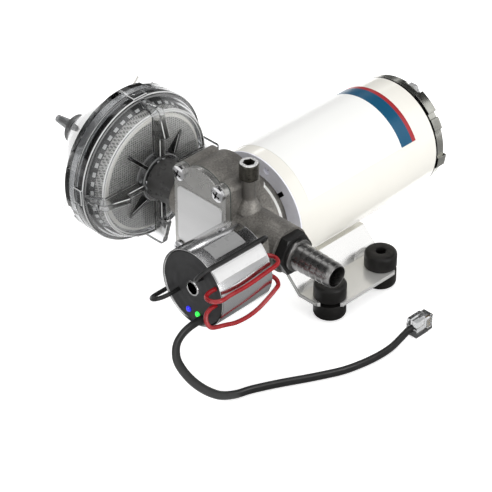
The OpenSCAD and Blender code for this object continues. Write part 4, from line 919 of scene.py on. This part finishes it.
class PUMP_OT_outlet(PumpOperator, bpy.types.Operator):
    """Hose barb, its nut and the strainer's adaptor"""

    bl_idname = "pump.outlet"
    bl_label = "Outlet"

    def execute(self, context):
        tints = self.colours()
        dress(moulded_finish("fitting_black", tints.black_plastic, 0.34, shine=0.28), "outlet_nut")
        dress(moulded_finish("adaptor_grey", (0.045, 0.044, 0.043), 0.3, shine=0.5), "inlet_adaptor")
        bm = turned(bmesh.new(), self.barb(), (1, 0, 0), PORT, 128)
        round_edges(bm, 0.12 * MM, 2)
        shiny = Finish("barb_shiny", (0.19, 0.187, 0.183), 0.28, 1.0)
        shiny.mottle(14, 0.9, 1.1).gloss(12, 0.25, 0.31)
        piece("ridged_barb", bm, shiny, "outlet_barb")
        return {"FINISHED"}

    def barb(self):
        """Outline of the barb: plain shank, collar and six ridges on a slight taper."""
        first, tip, bore, pitch = 54.2, 78.6, 5.2, 3.9
        tip_r, taper = 6.3, 0.75
        outline = [(bore, 42.0), (7.0, 42.0), (7.0, 52.02), (8.3, 52.02), (8.3, first)]
        for i in range(6):
            x = first + i * pitch
            r, end_r = (tip_r + taper * (tip - place) / (tip - first) for place in (x, x + pitch))
            outline += [(r - 0.2, x + 0.2), (r - 0.05, x + 0.8), (r, x + 1.4), (end_r - 0.2, x + pitch)]
        return outline + [(5.85, tip - 0.8), (5.7, tip), (bore, tip)]


class PUMP_OT_strainer(PumpOperator, bpy.types.Operator):
    """Clear strainer bowl and lid with the woven screen"""

    bl_idname = "pump.strainer"
    bl_label = "Strainer"

    def execute(self, context):
        tint = self.colours().clear_plastic
        # Shares of the bowl's tint along the port. The darker steps over the shoulder are painted shade,
        # where the seal and the inner shadows show through.
        smoke_and_shade = [
            (-63.0, 0.4), (-60.0, 0.7), (-56.8, 0.45), (-55.8, 0.6), (-50.0, 0.8), (-47.2, 1.2),
            (-46.8, 0.4), (-41.0, 0.3),
        ]
        self.bowl(clear_finish("bowl_clear", tint, smoke_and_shade))
        dress(self.lid(tint), "strainer_lid")
        self.screen()
        return {"FINISHED"}

    def lid(self, tint):
        """Smoky lid with a dull spigot. Its wings, which stand over its cone, are clearer."""
        smoke_and_shade = [(-122.0, 0.3), (-100.0, 0.3), (-98.0, 0.45), (-72.0, 0.45), (-70.0, 0.7), (-60.0, 0.7)]
        lid = clear_finish("lid_smoky", tint, smoke_and_shade)
        smoky = lid.shader.inputs["Base Color"].links[0].from_socket
        along = lid.axis("X")
        lid.feed("Roughness", lid.spread(along, 0.4, 0.05, -99.0 * MM, -97.0 * MM))
        slope, outside = 27.0 / 29.5, 104.7 * MM
        cone = lid.calc("SUBTRACT", lid.radius(), lid.calc("MULTIPLY", along, slope))
        wing = lid.both(lid.above(cone, outside), lid.between(along, -89.0 * MM, -70.0 * MM))
        return lid.patch(wing, smoky, grey(0.97))

    def bowl(self, clear):
        """Spun shell, four ribs that run out into fins, four gussets and four clips."""
        outline = [
            (8.0, -42.0), (13.0, -42.0), (13.0, -47.0), (34.8, -47.0), (39.2, -56.5), (41.0, -56.5),
            (41.0, -62.5), (39.2, -62.5), (39.2, -58.5), (37.2, -58.5), (33.8, -49.0), (8.0, -49.0),
        ]
        bm = turned(bmesh.new(), outline, (1, 0, 0), PORT, 160)
        # The rounded edges get finish 1, the painted edge highlight.
        for face in round_edges(bm, 0.5 * MM):
            face.material_index = 1
        round_x, round_r, size = -43.7, 37.5, 3.0
        angles = [math.radians(a) for a in range(0, 91, 15)]
        tip = [(round_x + size * math.cos(a), round_r + size * math.sin(a)) for a in angles]
        rib = [
            (-41.2, 12.0), (-41.2, 24.0), (-37.5, 25.0), (-37.5, 26.0), *tip, (-56.4, 40.5), (-56.4, 39.0),
            (-47.2, 34.6), (-47.2, 12.0),
        ]
        gusset = [(-42.0, 12.0), (-47.0, 26.0), (-47.2, 26.0), (-47.2, 12.0)]
        clip = [(-62.4, 40.0), (-62.4, 41.9), (-56.6, 41.9), (-56.6, 40.0)]
        for turn in range(0, 360, 90):
            for profile, thick, offset, kind in ((rib, 3.4, 0, 2), (gusset, 2.0, 45, 3), (clip, 9.0, 0, 0)):
                self.plate(bm, profile, thick, turn + offset, kind)
        # The ribs and the gussets are the bowl's clear plastic, tinted dark as painted shade.
        others = (self.painted_edge_highlight(), self.painted_shade_rib(), clear_finish("gusset_painted_shade", (0.05, 0.05, 0.048)))
        made = piece("moulded_bowl", bm, clear, "strainer_bowl", others=others)
        made.visible_shadow = False

    def painted_edge_highlight(self):
        """Painted highlight on the edges of the clear moulding: painted pale over the screen and at the
        rim, and painted dark at the fins.
        """
        edge = Finish("bowl_edge_painted_highlight", grey(0.8), 0.12)
        along = edge.spread(edge.radius(), 0.0, 1.0, 10.0 * MM, 40.0 * MM)
        dull, lit, dark = grey(0.2), (0.85, 0.85, 0.84), grey(0.16)
        stops = [
            (0.12, dull), (0.14, lit), (0.43, lit), (0.45, dull), (0.53, dull), (0.55, lit), (0.8, lit),
            (0.85, dark),
        ]
        rim = edge.both(edge.below(edge.axis("X"), -56.2 * MM), edge.above(edge.radius(), 40.2 * MM))
        return edge.patch(rim, edge.ramp(along, stops), grey(0.6)).gloss(3, 0.08, 0.2)

    def painted_shade_rib(self):
        """Ribs with painted shade: dark over the screen, and clear where they run out into fins."""
        rib = clear_finish("rib_painted_shade", grey(0.5))
        fin = rib.spread(rib.radius(), 0.0, 1.0, 33.0 * MM, 36.0 * MM)
        return rib.patch(fin, (0.2, 0.2, 0.195), (0.85, 0.86, 0.87))

    def plate(self, bm, profile, thick, turn, kind):
        """A rounded plate in an axial plane, from an outline of (place, radius) in millimetres."""
        made = bmesh.new()
        face = made.faces.new([made.verts.new((x * MM, -thick / 2 * MM, r * MM)) for x, r in profile])
        grown = bmesh.ops.extrude_face_region(made, geom=[face])["geom"]
        moved = [g for g in grown if isinstance(g, bmesh.types.BMVert)]
        bmesh.ops.translate(made, verts=moved, vec=(0, thick * MM, 0))
        for face in made.faces:
            face.material_index = kind
        # Their rounded edges get finish 1, the painted edge highlight.
        for face in round_edges(made, 0.35 * MM, 2):
            face.material_index = 1
        place = Matrix.Translation(PORT) @ Matrix.Rotation(math.radians(turn - 90.0), 4, "X")
        bmesh.ops.transform(made, matrix=place, verts=made.verts)
        shape = bpy.data.meshes.new("plate")
        made.to_mesh(shape)
        made.free()
        bm.from_mesh(shape)
        bpy.data.meshes.remove(shape)

    def screen(self):
        """Woven basket, with a painted highlight on its rounded rim, and a painted row of dark spacers next
        to the bowl's wall, with painted light in the windows between them.
        """
        woven = Finish("woven_screen", (0.42, 0.41, 0.4), 0.45, 0.2)
        threads = [woven.waves(240.0, wave_type="BANDS", bands_direction=way) for way in ("Y", "Z")]
        height = woven.calc("MAXIMUM", *threads)
        grain = woven.calc("MULTIPLY", height, woven.spread(woven.noise(0.7, 2.0), 0.5, 1.5))
        tint = woven.ramp(grain, [(0.35, (0.17, 0.17, 0.163)), (0.9, (0.66, 0.65, 0.62))])
        spacers, wall = 44.0, grey(0.09)
        step = woven.calc("FRACT", woven.calc("MULTIPLY", woven.turn(), spacers), 0.0)
        # Painted light: the windows between the dark spacers are painted near white.
        windows = woven.blended(woven.above(step, 0.5), wall, (1.0, 1.0, 0.98))
        along = woven.axis("X")
        for place, behind in ((-54.3, wall), (-54.8, windows), (-56.2, wall)):
            tint = woven.blended(woven.below(along, place * MM), tint, behind)
        # Painted highlight: the rounded rim between the flat face and the cone is painted near white.
        rim_highlight = woven.both(woven.above(along, -50.6 * MM), woven.above(woven.radius(), 30.4 * MM))
        woven.patch(rim_highlight, tint, (0.95, 0.93, 0.87))
        woven.relief(height, 0.15)
        outline = [
            (9.0, -49.4), (31.0, -49.4), (31.4, -49.5), (31.7, -49.8), (36.8, -58.3), (36.1, -58.3),
            (31.0, -50.1), (9.0, -50.1),
        ]
        bm = turned(bmesh.new(), outline, (1, 0, 0), PORT, 160)
        piece("woven_basket", bm, woven, "strainer_screen")


class PUMP_OT_sensor(PumpOperator, bpy.types.Operator):
    """Chromed sensor case, black cap, eyelet, bare labels and lamps"""

    bl_idname = "pump.sensor"
    bl_label = "Pressure sensor"

    def execute(self, context):
        tints = self.colours()
        chrome = Finish("case_chrome", (0.72, 0.72, 0.73), 0.16, 1.0).gloss(10, 0.12, 0.2)
        # Painted reflection: the case's front lip is painted dark grey, in place of the darker reflection
        # it shows.
        lip = chrome.below(chrome.axis("Y"), -113.2 * MM)
        chrome.patch(lip, chrome.base, grey(0.3))
        outline = [
            (5.02, -80.5), (20.0, -80.5), (20.28, -80.62), (20.4, -80.9), (20.4, -113.4), (20.32, -113.68),
            (20.1, -113.8), (19.9, -113.72), (19.3, -113.1), (19.2, -112.8), (19.2, -82.5), (5.02, -82.5),
        ]
        bm = turned(bmesh.new(), outline, (0, 1, 0), SENSOR, 160)
        piece("chromed_case", bm, chrome, "sensor_case")
        ring = [(3.1, -113.75), (3.2, -113.9), (3.9, -113.9), (4.0, -113.75), (4.0, -109.3), (3.1, -109.3)]
        bm = turned(bmesh.new(), ring, (0, 1, 0), SENSOR, 64)
        bright = Finish("eyelet_chrome", grey(0.8), 0.15, 1.0).gloss(2, 0.1, 0.2)
        # Painted shade: the eyelet's bore is painted near black.
        hole = bright.below(bright.radius(SENSOR, (1, 0, 1)), 3.15 * MM)
        bright.patch(hole, bright.base, grey(0.004))
        piece("rolled_eyelet", bm, bright, "sensor_eyelet")
        cap = moulded_finish("cap_black", (0.03, 0.03, 0.031), 0.42)
        about = cap.mapped(centre=(-SENSOR[0], 0.0, -SENSOR[2]))
        rings = cap.waves(70.0, about, wave_type="RINGS", rings_direction="Y")
        dress(cap.relief(rings, 0.07), "sensor_cap")
        dress(steel_finish("stem_zinc", grey(0.45), 0.35), "sensor_stem")
        film = Finish("patch_film", grey(0.5), 0.3).gloss(4, 0.24, 0.36)
        outer = film.above(film.axis("X"), 48.0 * MM)
        dress(film.patch(outer, grey(0.26), grey(0.7)), "sensor_labels")
        dress(moulded_finish("board_green", (0.02, 0.12, 0.05), 0.4), "control_board")
        for node in ("lamp_blue", "lamp_green"):
            tint = getattr(tints, node)
            lit = Finish(node + "_lit", tint, 0.15, Emission_Color=(*tint, 1.0), Emission_Strength=0.9)
            dress(lit.gloss(1, 0.1, 0.2), node)
        return {"FINISHED"}


OPERATORS = (
    PUMP_OT_stage, PUMP_OT_data_lead, PUMP_OT_sensor_wires, PUMP_OT_feet_and_bracket, PUMP_OT_motor,
    PUMP_OT_motor_works, PUMP_OT_pump_head, PUMP_OT_pump_works, PUMP_OT_outlet, PUMP_OT_strainer,
    PUMP_OT_sensor,
)


class PUMP_PT_panel(bpy.types.Panel):
    """Lists the pump's operators"""

    bl_idname = "PUMP_PT_panel"
    bl_label = "Caravan Water Pump"
    bl_space_type = "VIEW_3D"
    bl_region_type = "UI"
    bl_category = "Pump"

    def draw(self, context):
        for operator in OPERATORS:
            self.layout.operator(operator.bl_idname)
        for group in (context.scene.pump_colours, context.scene.pump_sizes):
            column = self.layout.column()
            for name in group.__annotations__:
                column.prop(group, name)


CLASSES = (PumpColours, PumpSizes, *OPERATORS, PUMP_PT_panel)


def register():
    for cls in CLASSES:
        bpy.utils.register_class(cls)
    bpy.types.Scene.pump_colours = PointerProperty(type=PumpColours)
    bpy.types.Scene.pump_sizes = PointerProperty(type=PumpSizes)


def unregister():
    del bpy.types.Scene.pump_sizes
    del bpy.types.Scene.pump_colours
    for cls in reversed(CLASSES):
        bpy.utils.unregister_class(cls)


def main():
    """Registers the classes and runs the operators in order."""
    register()
    for operator in OPERATORS:
        group, name = operator.bl_idname.split(".")
        getattr(getattr(bpy.ops, group), name)()


if __name__ == "__main__":
    main()
